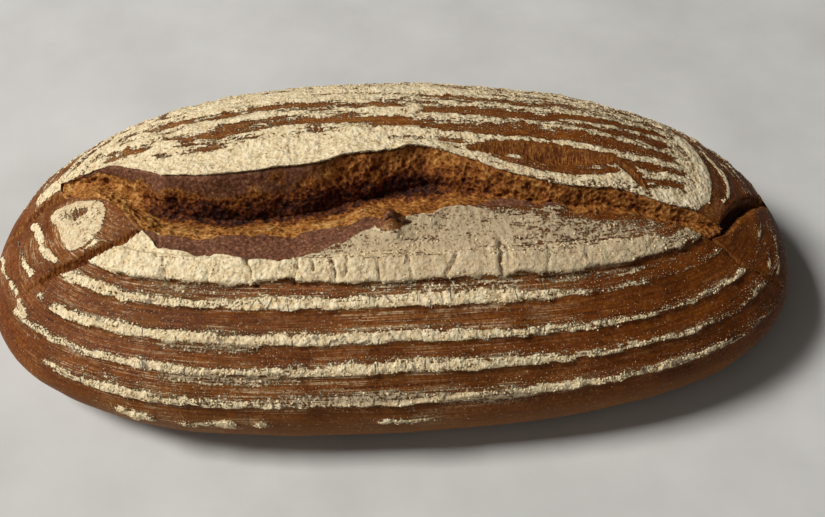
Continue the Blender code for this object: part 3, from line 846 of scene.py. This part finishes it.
# %% [markdown]
# ## Close the crust
#
# The rows of the split join the two halves: facing columns share their points along the foot of the
# wall. They lie a little lower than the crumb that will cover them. The foot is closed with one flat
# face. Each point keeps its flour amount, its depth in a cut and its ring address as attributes.

# %% The rows of the split
def valley(turn):
    """Rows of the split for each column, from the foot of the wall to just below its lip."""
    x = SPLIT_ENDS.mean() + np.ptp(SPLIT_ENDS) / 2 * np.cos(turn)
    front = np.sin(turn) < 0
    below = np.minimum(CRUST_EDGE, (at(BACK_LIP, x) - at(FRONT_LIP, x)) / 4)
    rows = []
    for share in np.linspace(0, 1, VALLEY_ROWS):
        out = np.where(front, share, 0)
        y, z = section(x, np.where(front, FOOT_SHARE + (1 - FOOT_SHARE) * share, FOOT_SHARE * (1 - share)))
        rows.append(np.stack([x, y + 0.7 * below * np.cos(math.pi * out), z - below], axis=-1))
    return np.array(rows)


def vertex_numbers(rows, columns, folded_rows):
    """The vertex of each grid place: across the split, column and facing column share the first row."""
    number = np.arange(rows * columns).reshape(rows, columns)
    back = turn[:BACK_COLUMNS]
    for column in range(BACK_COLUMNS, columns):
        facing = int(np.argmin(np.abs(back - (2 * math.pi - turn[column]))))
        number[0, column] = number[0, facing]
    for column in (0, BACK_COLUMNS):
        number[:folded_rows, column] = number[folded_rows, column]
    return number


print("rows in the split:", VALLEY_ROWS)

# %% From a grid to a mesh
def add_mesh(name, points, faces, attributes):
    """A smooth mesh object at the origin, with its named attributes."""
    mesh = bpy.data.meshes.new(name)
    mesh.from_pydata(points.tolist(), [], faces)
    mesh.validate()
    mesh.update()
    for key, values in attributes.items():
        kind = "FLOAT_VECTOR" if values.ndim == 2 else "FLOAT"
        layer = mesh.attributes.new(key, kind, "POINT")
        layer.data.foreach_set("vector" if values.ndim == 2 else "value", values.astype(np.float32).ravel())
    mesh.shade_smooth()
    made = bpy.data.objects.new(name, mesh)
    bpy.context.scene.collection.objects.link(made)
    return made


def kept_only(points, faces, attributes):
    """Drops the points that no face uses."""
    used = np.unique(np.concatenate([np.array(face) for face in faces]))
    renumber = np.full(len(points), -1)
    renumber[used] = np.arange(len(used))
    faces = [[int(renumber[corner]) for corner in face] for face in faces]
    return points[used], faces, {key: values[used] for key, values in attributes.items()}


def grid_faces(number, around):
    """Faces of a grid of vertex numbers; where corners coincide a face has fewer sides."""
    rows, columns = number.shape
    faces = []
    for row in range(rows - 1):
        for column in range(columns if around else columns - 1):
            after = (column + 1) % columns
            left, right = number[row:row + 2, column], number[row:row + 2, after]
            face = list(dict.fromkeys(int(corner) for corner in (*left, *right[::-1])))
            if len(face) > 2:
                faces.append(face)
    return faces


# %% Build the crust's mesh
valley_grid = valley(turn)
grid = np.concatenate([valley_grid, crust])
number = vertex_numbers(*grid.shape[:2], VALLEY_ROWS)
faces = grid_faces(number, around=True)
faces.append([int(corner) for corner in number[-1][::-1]])
pad = ((VALLEY_ROWS, 0), (0, 0))
fields = {
    "flour": np.pad(flour, pad, constant_values=BARE).ravel(),
    "torn": np.pad(torn / MM, pad, constant_values=3.0).ravel(),
    "ring_space": np.pad(ring_space, pad + ((0, 0),)).reshape(-1, 3),
    "crack": np.pad(cracks, pad, constant_values=NO_CRACK).ravel(),
    "cake": np.pad(cake_cover, pad).ravel(),
    "dust": np.pad(dust_cover, pad).ravel(),
    "sunk": np.pad(sunk / MM, pad, constant_values=3.0).ravel(),
    "haze": np.pad(haze, pad).ravel(),
    "level": np.pad(ring, pad).ravel(),
    "powder_and_shade": np.pad(powder_and_shade, pad).ravel(),
}
points, faces, fields = kept_only(grid.reshape(-1, 3), faces, fields)
crust_piece = add_mesh("crust", points, faces, fields)
print("crust faces:", len(crust_piece.data.polygons))

# %% [markdown]
# ## The torn crumb
#
# The crumb is a slab of its own that lies in the split, with its edges tucked under both lips, so
# that the crust keeps a real edge. A slab can have far finer steps than the crust needs. Its bubbles
# are pits pushed into the mesh. The shelf in front, and the left part of the wall under the ear, stay
# smooth, because they are the loaf's old skin, stretched and not torn.

# %% Shape the crumb
CRUMB_STATIONS, CRUMB_ACROSS = 540, 90
CRUMB_THICK = 1.7 * MM
TUCK_OUT, TUCK_DOWN = 1.0 * MM, 0.45 * MM
PORES = ((3.6 * MM, 0.6 * MM, 51), (2.0 * MM, 0.35 * MM, 52))  # bubble spacing, depth and seed
CRAGS = ((10 * MM, 1.0 * MM, 53), (4.2 * MM, 0.45 * MM, 54), (2.0 * MM, 0.22 * MM, 55))
SKIN_WAVES = ((8 * MM, 0.5 * MM, 56), (2.5 * MM, 0.14 * MM, 57))

station = np.linspace(SPLIT_ENDS[0] + 1.0 * MM, SPLIT_ENDS[1] - 1.0 * MM, CRUMB_STATIONS)[:, None]
share = np.linspace(0, 1, CRUMB_ACROSS)[None, :]
crumb_y, crumb_z = section(station, share)
crumb = np.stack([np.broadcast_to(station, crumb_y.shape), crumb_y, crumb_z], axis=-1)


def sheet_normals(grid):
    """Normals of an open grid, upwards."""
    normal = np.cross(np.gradient(grid, axis=1), np.gradient(grid, axis=0))
    return normal / np.maximum(np.linalg.norm(normal, axis=-1, keepdims=True), 1e-12)


front_gap = crumb_y - front_edge(station)
skin_width = np.minimum(at(SKIN_WIDTH, station), (at(BACK_LIP, station) - at(FRONT_LIP, station)) * 0.55)
ragged_edge = 1.3 * MM * lumps(crumb, 7 * MM, 58, layers=2)
skin = 1 - step_between(front_gap - skin_width + ragged_edge, -0.8 * MM, 0.8 * MM)
skin = skin * step_between(skin_width, 0.3 * MM, 1.5 * MM)
upper_wall = step_between(1 - share / FOOT_SHARE + 0.3 * lumps(crumb, 7 * MM, 59, layers=3), 0.4, 1.0)
left_side = 1 - step_between(station, -52 * MM, 2 * MM)
wall_skin = upper_wall * left_side
smooth_part = np.maximum(skin, 0.8 * wall_skin)
edge_fade = step_between(np.minimum(share, 1 - share), 0.0, 0.03)

strands = crumb + 0.6 * MM * lumps(crumb, 2.4 * MM, 50)[..., None]
# Where the bubbles pit the mesh the crumb's colour gets painted shade
relief, pit_shade = np.zeros(crumb_y.shape), np.zeros(crumb_y.shape)
for spacing, depth, seed in PORES:
    pit = 1 - step_between(pores(strands, spacing, seed), 0.12, 0.5)
    pit_shade = np.maximum(pit_shade, pit)
    relief -= depth * pit
for size, amount, seed in CRAGS:
    relief += amount * lumps(strands, size, seed)
waves = sum(amount * lumps(crumb, size, seed) for size, amount, seed in SKIN_WAVES)
relief = (relief * (1 - smooth_part) + waves * smooth_part) * edge_fade
crumb_normal = sheet_normals(crumb)
shaped = crumb + crumb_normal * relief[..., None]
pit_shade = pit_shade * (1 - smooth_part)
depth = at(WALL_HEIGHT, station) / MM
patchy = lumps(crumb, 7 * MM, 60, layers=2)
# Painted shade: the crumb is darker in the corner at the foot of a deep wall
recess_shade = step_between(share, 0.08, 0.24) * (1 - step_between(share + 0.08 * patchy, 0.32, 0.5))
recess_shade = recess_shade * step_between(depth, 7, 15)
golden = step_between(front_gap - skin_width + 4 * MM * patchy, 20 * MM, 5 * MM)
golden = golden + 0.45 * (1 - step_between(station, -100 * MM, -78 * MM))
golden = np.clip(golden, 0, 1) * (1 - step_between(station, -12 * MM, 8 * MM))
print("crumb relief from", round(float(relief.min()) / MM, 2), "to", round(float(relief.max()) / MM, 2), "mm")

# %% Tuck the edges and close the slab
def tuck_edges(grid):
    """Pushes the slab's rim outwards and down, under the lips."""
    rim = (1 - step_between(share, 0, 0.02)) - step_between(share, 0.98, 1)
    grid = grid.copy()
    grid[..., 1] += TUCK_OUT * rim
    grid[..., 2] -= TUCK_DOWN * np.abs(rim)
    return grid


def shut_slab(top, under):
    """Points and faces of a closed slab from its upper and lower grids."""
    stations, across = top.shape[:2]
    upper = np.arange(stations * across).reshape(stations, across)
    lower = upper + stations * across
    faces = grid_faces(upper, around=False)
    faces += [face[::-1] for face in grid_faces(lower, around=False)]
    rim = np.concatenate([upper[0, :-1], upper[:-1, -1], upper[-1, :0:-1], upper[:0:-1, 0]])
    after, drop = np.roll(rim, -1), stations * across
    faces += [[int(a), int(b), int(b + drop), int(a + drop)] for a, b in zip(rim, after)]
    return np.concatenate([top.reshape(-1, 3), under.reshape(-1, 3)]), faces


top = tuck_edges(shaped)
under = tuck_edges(crumb) - crumb_normal * CRUMB_THICK
points, faces = shut_slab(top, under)
fields = {"pit_shade": pit_shade, "recess_shade": recess_shade, "golden": golden, "skin": skin, "wall_skin": wall_skin}
for key, field in fields.items():
    fields[key] = np.tile(np.broadcast_to(field, crumb_y.shape).ravel(), 2)  # once for each side of the slab
crumb_piece = add_mesh("crumb", points, faces, fields)
print("crumb faces:", len(crumb_piece.data.polygons))

# %% [markdown]
# ## Colours and nodes
#
# Colours are written as the hex values that a screen shows, and one function turns them into the
# linear values that a shader works with. One more function adds a node with its settings and links,
# and every material below is a list of such calls.

# %% Colour and node helpers
def linear(code):
    """A hex colour as linear red, green, blue and alpha."""
    shown = [int(code[k:k + 2], 16) / 255 for k in (1, 3, 5)]
    return [c / 12.92 if c <= 0.04045 else ((c + 0.055) / 1.055) ** 2.4 for c in shown] + [1.0]


def add_node(tree, kind, inputs=None, take=0, stops=(), **settings):
    """Adds a node and returns one of its outputs.

    Inputs give a value, or another node's output, to each socket. Take picks the output, stops are the
    (place, hex colour) pairs of a colour ramp, and settings are the node's own properties.
    """
    node = tree.nodes.new(kind)
    for key, value in settings.items():
        setattr(node, key, value)
    for socket, value in (inputs or {}).items():
        if isinstance(value, bpy.types.NodeSocket):
            tree.links.new(value, node.inputs[socket])
        else:
            node.inputs[socket].default_value = value
    for count, (place, code) in enumerate(stops):
        known = node.color_ramp.elements
        element = known[count] if count < len(known) else known.new(place)
        element.position, element.color = place, linear(code)
    return node.outputs[take] if node.outputs else None


# Blender's names for the nodes used most, where a Mix node of colours keeps its sockets, and settings
NOISE, CELLS, MATH = "ShaderNodeTexNoise", "ShaderNodeTexVoronoi", "ShaderNodeMath"
RAMP, BUMP, COORDINATES = "ShaderNodeValToRGB", "ShaderNodeBump", "ShaderNodeTexCoord"
MIX, FACTOR, FIRST, SECOND = "ShaderNodeMix", 0, 6, 7
OF_COLOURS = {"take": 2, "data_type": "RGBA"}
RANGE, ATTRIBUTE = "ShaderNodeMapRange", "ShaderNodeAttribute"
MULTIPLY, ADD_SHARE = {"operation": "MULTIPLY"}, {"operation": "MULTIPLY_ADD"}


def new_material(name, roughness, gloss):
    """A material with its tree and its Principled BSDF."""
    made = bpy.data.materials.new(name)
    made.use_nodes = True
    surface = made.node_tree.nodes["Principled BSDF"]
    surface.inputs["Roughness"].default_value = roughness
    surface.inputs["Specular IOR Level"].default_value = gloss
    return made, made.node_tree, surface


# %% [markdown]
# ## Baked crust and rice flour
#
# A baked crust is brown from sugars that the oven turned to caramel, darker where it stood proud, and
# it is faintly glossy where it is bare. Rice flour is dead matt and pale. One material shows both:
# the flour attribute says how much lies at a point, and fine noise decides, grain by grain, where it
# still sticks. Streaks follow the rings, so they read ring space instead of plain coordinates. Where
# the flour is only a powder it is thinner, greyer and smoother than a cake. Grains of flour are too
# fine to show at this distance, so they are drawn as clumps of about a millimetre.

# %% The crust's material
BROWNS = ((0.0, "#180903"), (0.26, "#3a1a07"), (0.5, "#6b360c"), (0.74, "#9b5b1c"), (1.0, "#c18b42"))
FLOURS = ((0.0, "#8f673c"), (0.26, "#cbab7b"), (0.55, "#ecd9b0"), (1.0, "#fcf2d6"))
TORN_BROWNS = ((0.0, "#2c1105"), (0.4, "#693713"), (0.7, "#945f29"), (1.0, "#bf8c4c"))
# The crack colour is crust brown darkened with painted shade
CRACK_BROWN_AND_SHADE, DUSTY_BROWN, PALE_BROWN, SPECK, POWDER_AND_SHADE = "#3d2210", "#a3743c", "#8f6233", "#dcc69c", "#b5a284"


def crust_material():
    made, tree, surface = new_material("baked crust dusted with rice flour", roughness=0.6, gloss=0.1)
    here = add_node(tree, COORDINATES, take="Object")
    rings = add_node(tree, ATTRIBUTE, take="Vector", attribute_name="ring_space")
    flour, near, level, powder_and_shade, sunk, torn, crack = [
        add_node(tree, ATTRIBUTE, take="Fac", attribute_name=name)
        for name in ("flour", "haze", "level", "powder_and_shade", "sunk", "torn", "crack")
    ]
    along, far_along, sideways, across = [
        add_node(tree, "ShaderNodeMapping", {"Vector": place, "Scale": scale})
        for place, scale in (
            (rings, (0.06, 0.06, 1)), (rings, (0.03, 0.03, 1)), (here, (0.08, 1, 1)), (here, (1, 0.3, 0.3)),
        )
    ]

    # Noise of every size that the eye meets on a crust: where it is read, its size in millimetres, how
    # many finer layers it has, and how strong those are
    streaks, straight, scratches, blotches, freckles, grains, clumps, fibres = [
        add_node(
            tree, NOISE, {"Vector": place, "Scale": 1 / (size * MM), "Detail": layers, "Roughness": rough},
        )
        for place, size, layers, rough in (
            (along, 0.8, 4, 0.65), (sideways, 0.8, 4, 0.65), (far_along, 0.5, 2, 0.6), (here, 14, 3, 0.5),
            (here, 1.2, 4, 0.75), (here, 0.95, 3, 0.7), (here, 3.2, 3, 0.6), (across, 0.9, 3, 0.65),
        )
    ]
    curds = add_node(tree, CELLS, {"Vector": here, "Scale": 1 / (1.7 * MM)}, feature="SMOOTH_F1")
    crackle = add_node(tree, CELLS, {"Vector": across, "Scale": 1 / (7 * MM)}, feature="DISTANCE_TO_EDGE")

    # Near the ridge the rings lie side by side, so their streaks run straight along the loaf there
    outer = add_node(tree, RANGE, {"Value": level, "From Min": 0.22, "From Max": 0.28})
    streaks = add_node(tree, MIX, {0: outer, 2: straight, 3: streaks})

    # Masks: what they read, where they begin and end, and the most that they let through
    low, veil, thin, blotchy, close, freckled, specks, clumped, cut_shade, torn = [
        add_node(tree, RANGE, {"Value": value, "From Min": first, "From Max": last, "To Max": most})
        for value, first, last, most in (
            (level, 0.66, 0.82, 0.6), (streaks, 0.38, 0.66, 0.6), (scratches, 0.52, 0.64, 0.75),
            (blotches, 0.42, 0.56, 1), (near, 0.02, 0.3, 1), (freckles, 0.38, 0.56, 1),
            (grains, 0.58, 0.65, 0.75), (clumps, 0.4, 0.62, 1), (sunk, 2.4, 4.2, -0.45), (torn, -0.3, 0.5, 1),
        )
    ]

    # Loose flour: a haze, scratches along the rings, and single specks
    veil = add_node(tree, MATH, {0: veil, 1: near}, **MULTIPLY)
    for mask in (blotchy, close, outer, freckled):
        thin = add_node(tree, MATH, {0: thin, 1: mask}, **MULTIPLY)
    more = add_node(tree, MATH, {0: near, 1: 1.4, 2: 0.22}, use_clamp=True, **ADD_SHARE)
    for mask in (clumped, more):
        specks = add_node(tree, MATH, {0: specks, 1: mask}, **MULTIPLY)
    specks = add_node(tree, MATH, {0: specks, 1: thin}, operation="MAXIMUM")

    # Inside a cut the crust is torn, and painted shade makes it darker the deeper it sinks
    torn_tone = cut_shade
    for noise, share in ((freckles, 1.1), (fibres, 1.5)):
        torn_tone = add_node(tree, MATH, {0: noise, 1: share, 2: torn_tone}, **ADD_SHARE)
    torn_tone = add_node(tree, MATH, {0: torn_tone, 1: 0.8}, operation="SUBTRACT")
    torn_brown = add_node(tree, RAMP, {"Fac": torn_tone}, stops=TORN_BROWNS)

    # Bare crust: each noise adds its share to the tone, and each layer goes over the ones before it
    tone = -0.31
    for noise, share in ((streaks, 0.5), (blotches, 0.35), (freckles, 0.7)):
        tone = add_node(tree, MATH, {0: noise, 1: share, 2: tone}, **ADD_SHARE)
    brown = add_node(tree, RAMP, {"Fac": tone}, stops=BROWNS)
    for mask, layer in (
        (low, linear(PALE_BROWN)), (veil, linear(DUSTY_BROWN)), (specks, linear(SPECK)), (torn, torn_brown),
    ):
        brown = add_node(tree, MIX, {FACTOR: mask, FIRST: brown, SECOND: layer}, **OF_COLOURS)

    # Caked flour sticks where its amount and the noise together are high enough
    amount = flour
    for noise, share in ((grains, 2.4), (clumps, 1.4), (streaks, 2.2)):
        amount = add_node(tree, MATH, {0: noise, 1: share, 2: amount}, **ADD_SHARE)
    covered = add_node(tree, RANGE, {"Value": amount, "From Min": 3.25, "From Max": 3.55})
    # Tone rises with the grains and clumps that raise the curds: painted shade low and painted highlight
    # high, besides flour lying thick or thin
    pale = -0.62
    for noise, share in ((grains, 1.25), (clumps, 0.7), (flour, 0.12), (powder_and_shade, -0.16)):
        pale = add_node(tree, MATH, {0: noise, 1: share, 2: pale}, **ADD_SHARE)
    flour_colour = add_node(tree, RAMP, {"Fac": pale}, stops=FLOURS)
    # Powder greys the flour; over the first strip that grey is partly painted shade
    thinned = add_node(tree, MATH, {0: powder_and_shade, 1: 0.65}, **MULTIPLY)
    layers = {FACTOR: thinned, FIRST: flour_colour, SECOND: linear(POWDER_AND_SHADE)}
    flour_colour = add_node(tree, MIX, layers, **OF_COLOURS)

    # Cracks show the crust below, darkened with painted shade: those in the mesh,
    # and a net of fine ones past the first strip
    crack = add_node(tree, MATH, {0: grains, 1: 0.9, 2: crack}, **ADD_SHARE)
    crack, crackle, clumped, outside = [
        add_node(tree, RANGE, {"Value": value, "From Min": first, "From Max": last, "To Max": most})
        for value, first, last, most in (
            (crack, 0.3, 0.65, 0.9), (crackle, 0.04, 0.015, 0.7), (clumps, 0.48, 0.6, 1),
            (level, 0.346, 0.36, 1),
        )
    ]
    for mask in (clumped, outside, covered):
        crackle = add_node(tree, MATH, {0: crackle, 1: mask}, **MULTIPLY)
    crack = add_node(tree, MATH, {0: crack, 1: crackle}, operation="MAXIMUM")
    colour = add_node(tree, MIX, {FACTOR: covered, FIRST: brown, SECOND: flour_colour}, **OF_COLOURS)
    colour = add_node(tree, MIX, {FACTOR: crack, FIRST: colour, SECOND: linear(CRACK_BROWN_AND_SHADE)}, **OF_COLOURS)
    tree.links.new(colour, surface.inputs["Base Color"])

    # Bare crust has a faint gloss and flour has none; caked flour stands up in small curds
    dull = add_node(tree, RANGE, {"Value": covered, "To Min": 0.6, "To Max": 0.95})
    tree.links.new(dull, surface.inputs["Roughness"])
    caked = 1.0
    for noise, share in ((grains, 0.8), (clumps, 0.9), (curds, -1.0), (crackle, -0.7)):
        caked = add_node(tree, MATH, {0: noise, 1: share, 2: caked}, **ADD_SHARE)
    thickness = add_node(tree, RANGE, {"Value": powder_and_shade, "To Min": 1.0, "To Max": 0.55})
    thickness = add_node(tree, MATH, {0: thickness, 1: covered}, **MULTIPLY)
    relief = add_node(tree, MATH, {0: caked, 1: thickness}, **MULTIPLY)
    torn_relief = add_node(tree, MATH, {0: fibres, 1: torn}, **MULTIPLY)
    for noise, share in ((streaks, 0.2), (freckles, 0.22), (torn_relief, 1.2)):
        relief = add_node(tree, MATH, {0: noise, 1: share, 2: relief}, **ADD_SHARE)
    bump = add_node(tree, BUMP, {"Height": relief, "Distance": 0.85 * MM})
    tree.links.new(bump, surface.inputs["Normal"])
    return made


crust_finish = crust_material()
crust_piece.data.materials.append(crust_finish)
print("material:", crust_finish.name)

# %% [markdown]
# ## Torn crumb
#
# Torn crumb is glassy starch with bubbles. Its ridges are honey brown, and painted shade darkens its
# bubbles and the corner at the foot of the wall. The stretched skin in front and under the ear is a
# dull purple brown, smoother than the crumb. Attributes of the slab say which is where.

# %% The crumb's material
CRUMBS = ((0.0, "#250d04"), (0.25, "#582a0c"), (0.5, "#925820"), (0.75, "#b98444"), (1.0, "#e0bb7c"))
SKINS = ((0.0, "#2e170d"), (0.4, "#5f3924"), (0.7, "#7d5238"), (1.0, "#ac8160"))


def crumb_material():
    made, tree, surface = new_material("torn sourdough crumb", roughness=0.72, gloss=0.16)
    here = add_node(tree, COORDINATES, take="Object")
    pit_shade, recess_shade, golden, skin, wall_skin = [
        add_node(tree, ATTRIBUTE, take="Fac", attribute_name=name)
        for name in ("pit_shade", "recess_shade", "golden", "skin", "wall_skin")
    ]
    bend = add_node(tree, NOISE, {"Vector": here, "Scale": 1 / (2.2 * MM), "Detail": 2}, take="Color")
    bent = add_node(tree, "ShaderNodeVectorMath", {0: bend, 1: (0.8 * MM,) * 3, 2: here}, **ADD_SHARE)
    bubbles, small_bubbles = [
        add_node(tree, CELLS, {"Vector": bent, "Scale": 1 / (size * MM)}) for size in (1.6, 0.9)
    ]
    fibres, patches, grain = [
        add_node(
            tree, NOISE, {"Vector": place, "Scale": 1 / (size * MM), "Detail": layers, "Roughness": rough},
        )
        for place, size, layers, rough in ((bent, 1.0, 4, 0.7), (here, 8, 2, 0.5), (here, 1.1, 4, 0.75))
    ]

    # Painted shade: bubbles are darker in their middles, where the bump sinks them, than on the honey
    # brown threads between; pits in the mesh and the corner at the wall's foot are painted darker too
    tone, skin_tone = -0.57, -0.93
    for noise, share in (
        (bubbles, 0.4), (small_bubbles, 0.25), (fibres, 0.9), (patches, 0.6), (pit_shade, -0.2),
        (recess_shade, -0.43), (golden, 0.13),
    ):
        tone = add_node(tree, MATH, {0: noise, 1: share, 2: tone}, **ADD_SHARE)
    for noise, share in ((grain, 2.3), (patches, 0.5)):
        skin_tone = add_node(tree, MATH, {0: noise, 1: share, 2: skin_tone}, **ADD_SHARE)
    crumb_colour = add_node(tree, RAMP, {"Fac": tone}, stops=CRUMBS)
    skin_colour = add_node(tree, RAMP, {"Fac": skin_tone}, stops=SKINS)
    smooth = add_node(tree, MATH, {0: skin, 1: wall_skin}, operation="MAXIMUM")
    smooth = add_node(tree, MATH, {0: grain, 1: 0.9, 2: smooth}, **ADD_SHARE)
    smooth = add_node(tree, RANGE, {"Value": smooth, "From Min": 0.75, "From Max": 1.15})
    colour = add_node(tree, MIX, {FACTOR: smooth, FIRST: crumb_colour, SECOND: skin_colour}, **OF_COLOURS)
    tree.links.new(colour, surface.inputs["Base Color"])

    relief = add_node(tree, MATH, {0: fibres, 1: 0.8, 2: bubbles}, **ADD_SHARE)
    still = add_node(tree, RANGE, {"Value": smooth, "To Min": 1.0, "To Max": 0.35})
    relief = add_node(tree, MATH, {0: relief, 1: still}, **MULTIPLY)
    bump = add_node(tree, BUMP, {"Height": relief, "Distance": 0.6 * MM})
    tree.links.new(bump, surface.inputs["Normal"])
    return made


crumb_finish = crumb_material()
crumb_piece.data.materials.append(crumb_finish)
print("material:", crumb_finish.name)

# %% [markdown]
# ## Lumps and grains of flour
#
# Caked rice flour breaks up like cottage cheese, and loose grains lie all over the crust. Geometry
# Nodes scatter both over the crust, as thickly as its attributes say. Every lump is a small ball of
# twenty faces, turned and stretched at random, half sunk in the crust and then roughened.

# %% The scatter tree
FILLING = 1.6  # tries for each square of the spacing, enough to fill a cover of 1
POINT_SEED, STRETCH_SEED, SPIN_SEED = 7, 11, 12
STRETCH = (0.35, 0.3, 0.25), (1.5, 1.1, 0.7)  # least and most, along the lump's own three sides
SPIN = (0.0, 0.0, 0.0), (0.0, 0.0, 2 * math.pi)


def scatter_tree(name, material):
    """A tree that scatters lumps over a mesh, by a density attribute of the mesh."""
    tree = bpy.data.node_groups.new(name, "GeometryNodeTree")
    tree.interface.new_socket("Geometry", in_out="INPUT", socket_type="NodeSocketGeometry")
    for label in ("Cover", "Lump Radius", "Spacing"):
        tree.interface.new_socket(label, in_out="INPUT", socket_type="NodeSocketFloat")
    tree.interface.new_socket("Geometry", in_out="OUTPUT", socket_type="NodeSocketGeometry")
    given = add_node(tree, "NodeGroupInput").node.outputs
    square = add_node(tree, MATH, {0: given["Spacing"], 1: given["Spacing"]}, **MULTIPLY)
    most = add_node(tree, MATH, {0: FILLING, 1: square}, operation="DIVIDE")
    spots = add_node(
        tree, "GeometryNodeDistributePointsOnFaces",
        {"Mesh": given["Geometry"], "Distance Min": given["Spacing"], "Density Max": most,
         "Density Factor": given["Cover"], "Seed": POINT_SEED},
        distribute_method="POISSON",
    )
    ball = add_node(tree, "GeometryNodeMeshIcoSphere", {"Radius": given["Lump Radius"], "Subdivisions": 1})
    stretch, spin = [
        add_node(
            tree, "FunctionNodeRandomValue", {"Min": low, "Max": high, "Seed": seed},
            data_type="FLOAT_VECTOR",
        )
        for low, high, seed in ((*STRETCH, STRETCH_SEED), (*SPIN, SPIN_SEED))
    ]
    turned = add_node(
        tree, "FunctionNodeRotateRotation", {"Rotation": spots.node.outputs["Rotation"], "Rotate By": spin},
        rotation_space="LOCAL",
    )
    balls = add_node(
        tree, "GeometryNodeInstanceOnPoints",
        {"Points": spots, "Instance": ball, "Rotation": turned, "Scale": stretch},
    )
    real = add_node(tree, "GeometryNodeRealizeInstances", {"Geometry": balls})
    rough = add_node(tree, NOISE, {"Scale": 1 / (0.9 * MM), "Detail": 1.0}, take="Color")
    centred = add_node(tree, "ShaderNodeVectorMath", {0: rough, 1: (0.5, 0.5, 0.5)}, operation="SUBTRACT")
    radius = given["Lump Radius"]
    wobble = add_node(tree, "ShaderNodeVectorMath", {0: centred, "Scale": radius}, operation="SCALE")
    moved = add_node(tree, "GeometryNodeSetPosition", {"Geometry": real, "Offset": wobble})
    smooth = add_node(tree, "GeometryNodeSetShadeSmooth", {0: moved})
    dressed = add_node(tree, "GeometryNodeSetMaterial", {"Geometry": smooth, "Material": material})
    add_node(tree, "NodeGroupOutput", {"Geometry": dressed})
    return tree


def scatter(name, tree, cover, radius, spacing):
    """Scatters over the crust and returns the result as a plain mesh object."""
    guide = bpy.data.objects.new(name + "_guide", crust_piece.data)
    bpy.context.scene.collection.objects.link(guide)
    modifier = guide.modifiers.new("scatter", "NODES")
    modifier.node_group = tree
    sockets = {item.name: item.identifier for item in tree.interface.items_tree if item.in_out == "INPUT"}
    modifier[sockets["Cover"] + "_use_attribute"] = True
    modifier[sockets["Cover"] + "_attribute_name"] = cover
    modifier[sockets["Lump Radius"]] = radius
    modifier[sockets["Spacing"]] = spacing
    ready = guide.evaluated_get(bpy.context.evaluated_depsgraph_get())
    mesh = bpy.data.meshes.new_from_object(ready)
    mesh.name = name
    bpy.data.objects.remove(guide)
    made = bpy.data.objects.new(name, mesh)
    bpy.context.scene.collection.objects.link(made)
    mesh.calc_loop_triangles()
    print(name, "triangles:", len(mesh.loop_triangles))
    return made


# %% Scatter the flour
def flour_material():
    made, tree, surface = new_material("caked rice flour", roughness=0.95, gloss=0.15)
    here = add_node(tree, COORDINATES, take="Object")
    clumps, grains = [
        add_node(
            tree, NOISE, {"Vector": here, "Scale": 1 / (size * MM), "Detail": layers, "Roughness": rough},
        )
        for size, layers, rough in ((3.2, 3, 0.6), (0.7, 2, 0.5))
    ]
    # Tone rises with the grains that the bump raises: partly painted highlight and shade, partly flour lying
    # thick or thin
    tone = -0.14
    for noise, share in ((clumps, 0.8), (grains, 0.4)):
        tone = add_node(tree, MATH, {0: noise, 1: share, 2: tone}, **ADD_SHARE)
    tree.links.new(add_node(tree, RAMP, {"Fac": tone}, stops=FLOURS), surface.inputs["Base Color"])
    bump = add_node(tree, BUMP, {"Height": grains, "Strength": 0.6, "Distance": 0.3 * MM})
    tree.links.new(bump, surface.inputs["Normal"])
    return made


flour_finish = flour_material()
tree = scatter_tree("flour scatter", flour_finish)
lump_piece = scatter("flour_lumps", tree, "cake", 0.5 * MM, 0.95 * MM)
grain_piece = scatter("flour_grains", tree, "dust", 0.17 * MM, 0.95 * MM)

# %% [markdown]
# ## Floor and light
#
# The loaf stands on a plain pale floor. A large soft light high at the left gives the rings their
# shape and throws the shadow to the right, as in the photograph. A wide weak light from the room in
# front and a dim pale sky fill the rest.

# %% Floor, sky and light
FLOOR_HALF = 2.5
bpy.ops.mesh.primitive_plane_add(size=2 * FLOOR_HALF, location=(0, 0, -0.2 * MM))
floor = bpy.context.object
floor.name = "floor"
plaster, tree, surface = new_material("pale matt plaster", roughness=0.9, gloss=0.3)
here = add_node(tree, COORDINATES, take="Object")
cloud = add_node(tree, NOISE, {"Vector": here, "Scale": 1 / (60 * MM), "Detail": 5, "Roughness": 0.55})
plaster_colour = add_node(tree, RAMP, {"Fac": cloud}, stops=((0.3, "#bcbab5"), (0.7, "#cccac5")))
tree.links.new(plaster_colour, surface.inputs["Base Color"])
floor.data.materials.append(plaster)

SKY_COLOUR, SKY_STRENGTH = "#f0e9dc", 0.055
world = bpy.data.worlds.new("soft daylight")
world.use_nodes = True
sky = world.node_tree.nodes["Background"]
sky.inputs["Color"].default_value = linear(SKY_COLOUR)
sky.inputs["Strength"].default_value = SKY_STRENGTH
bpy.context.scene.world = world

# Where each light stands and how wide it is, in metres, and its power in watts
LIGHTS = {"window": ((-2.005, -0.035, 2.229), 0.9, 108), "room": ((-1.32, -1.88, 1.93), 2.4, 9)}
AIM = Vector((0, 0, 30 * MM))


def soft_light(name, place, size, watts):
    """A square area light aimed at the loaf."""
    lamp = bpy.data.objects.new(name, bpy.data.lights.new(name, "AREA"))
    lamp.data.size, lamp.data.energy = size, watts
    lamp.location = place
    lamp.rotation_euler = (AIM - Vector(place)).to_track_quat("-Z", "Y").to_euler()
    bpy.context.scene.collection.objects.link(lamp)


for name, given in LIGHTS.items():
    soft_light(name, *given)
bpy.context.scene.view_settings.view_transform = "Standard"
print("floor, sky and light are in place")

# %% [markdown]
# ## Attach the pieces
#
# Each piece rides on the loaf's one body and stands for the plain solid, which is hidden.

# %% Attach the pieces and finish
for piece in (crust_piece, crumb_piece, lump_piece, grain_piece):
    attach(piece, "root")
    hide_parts("loaf")
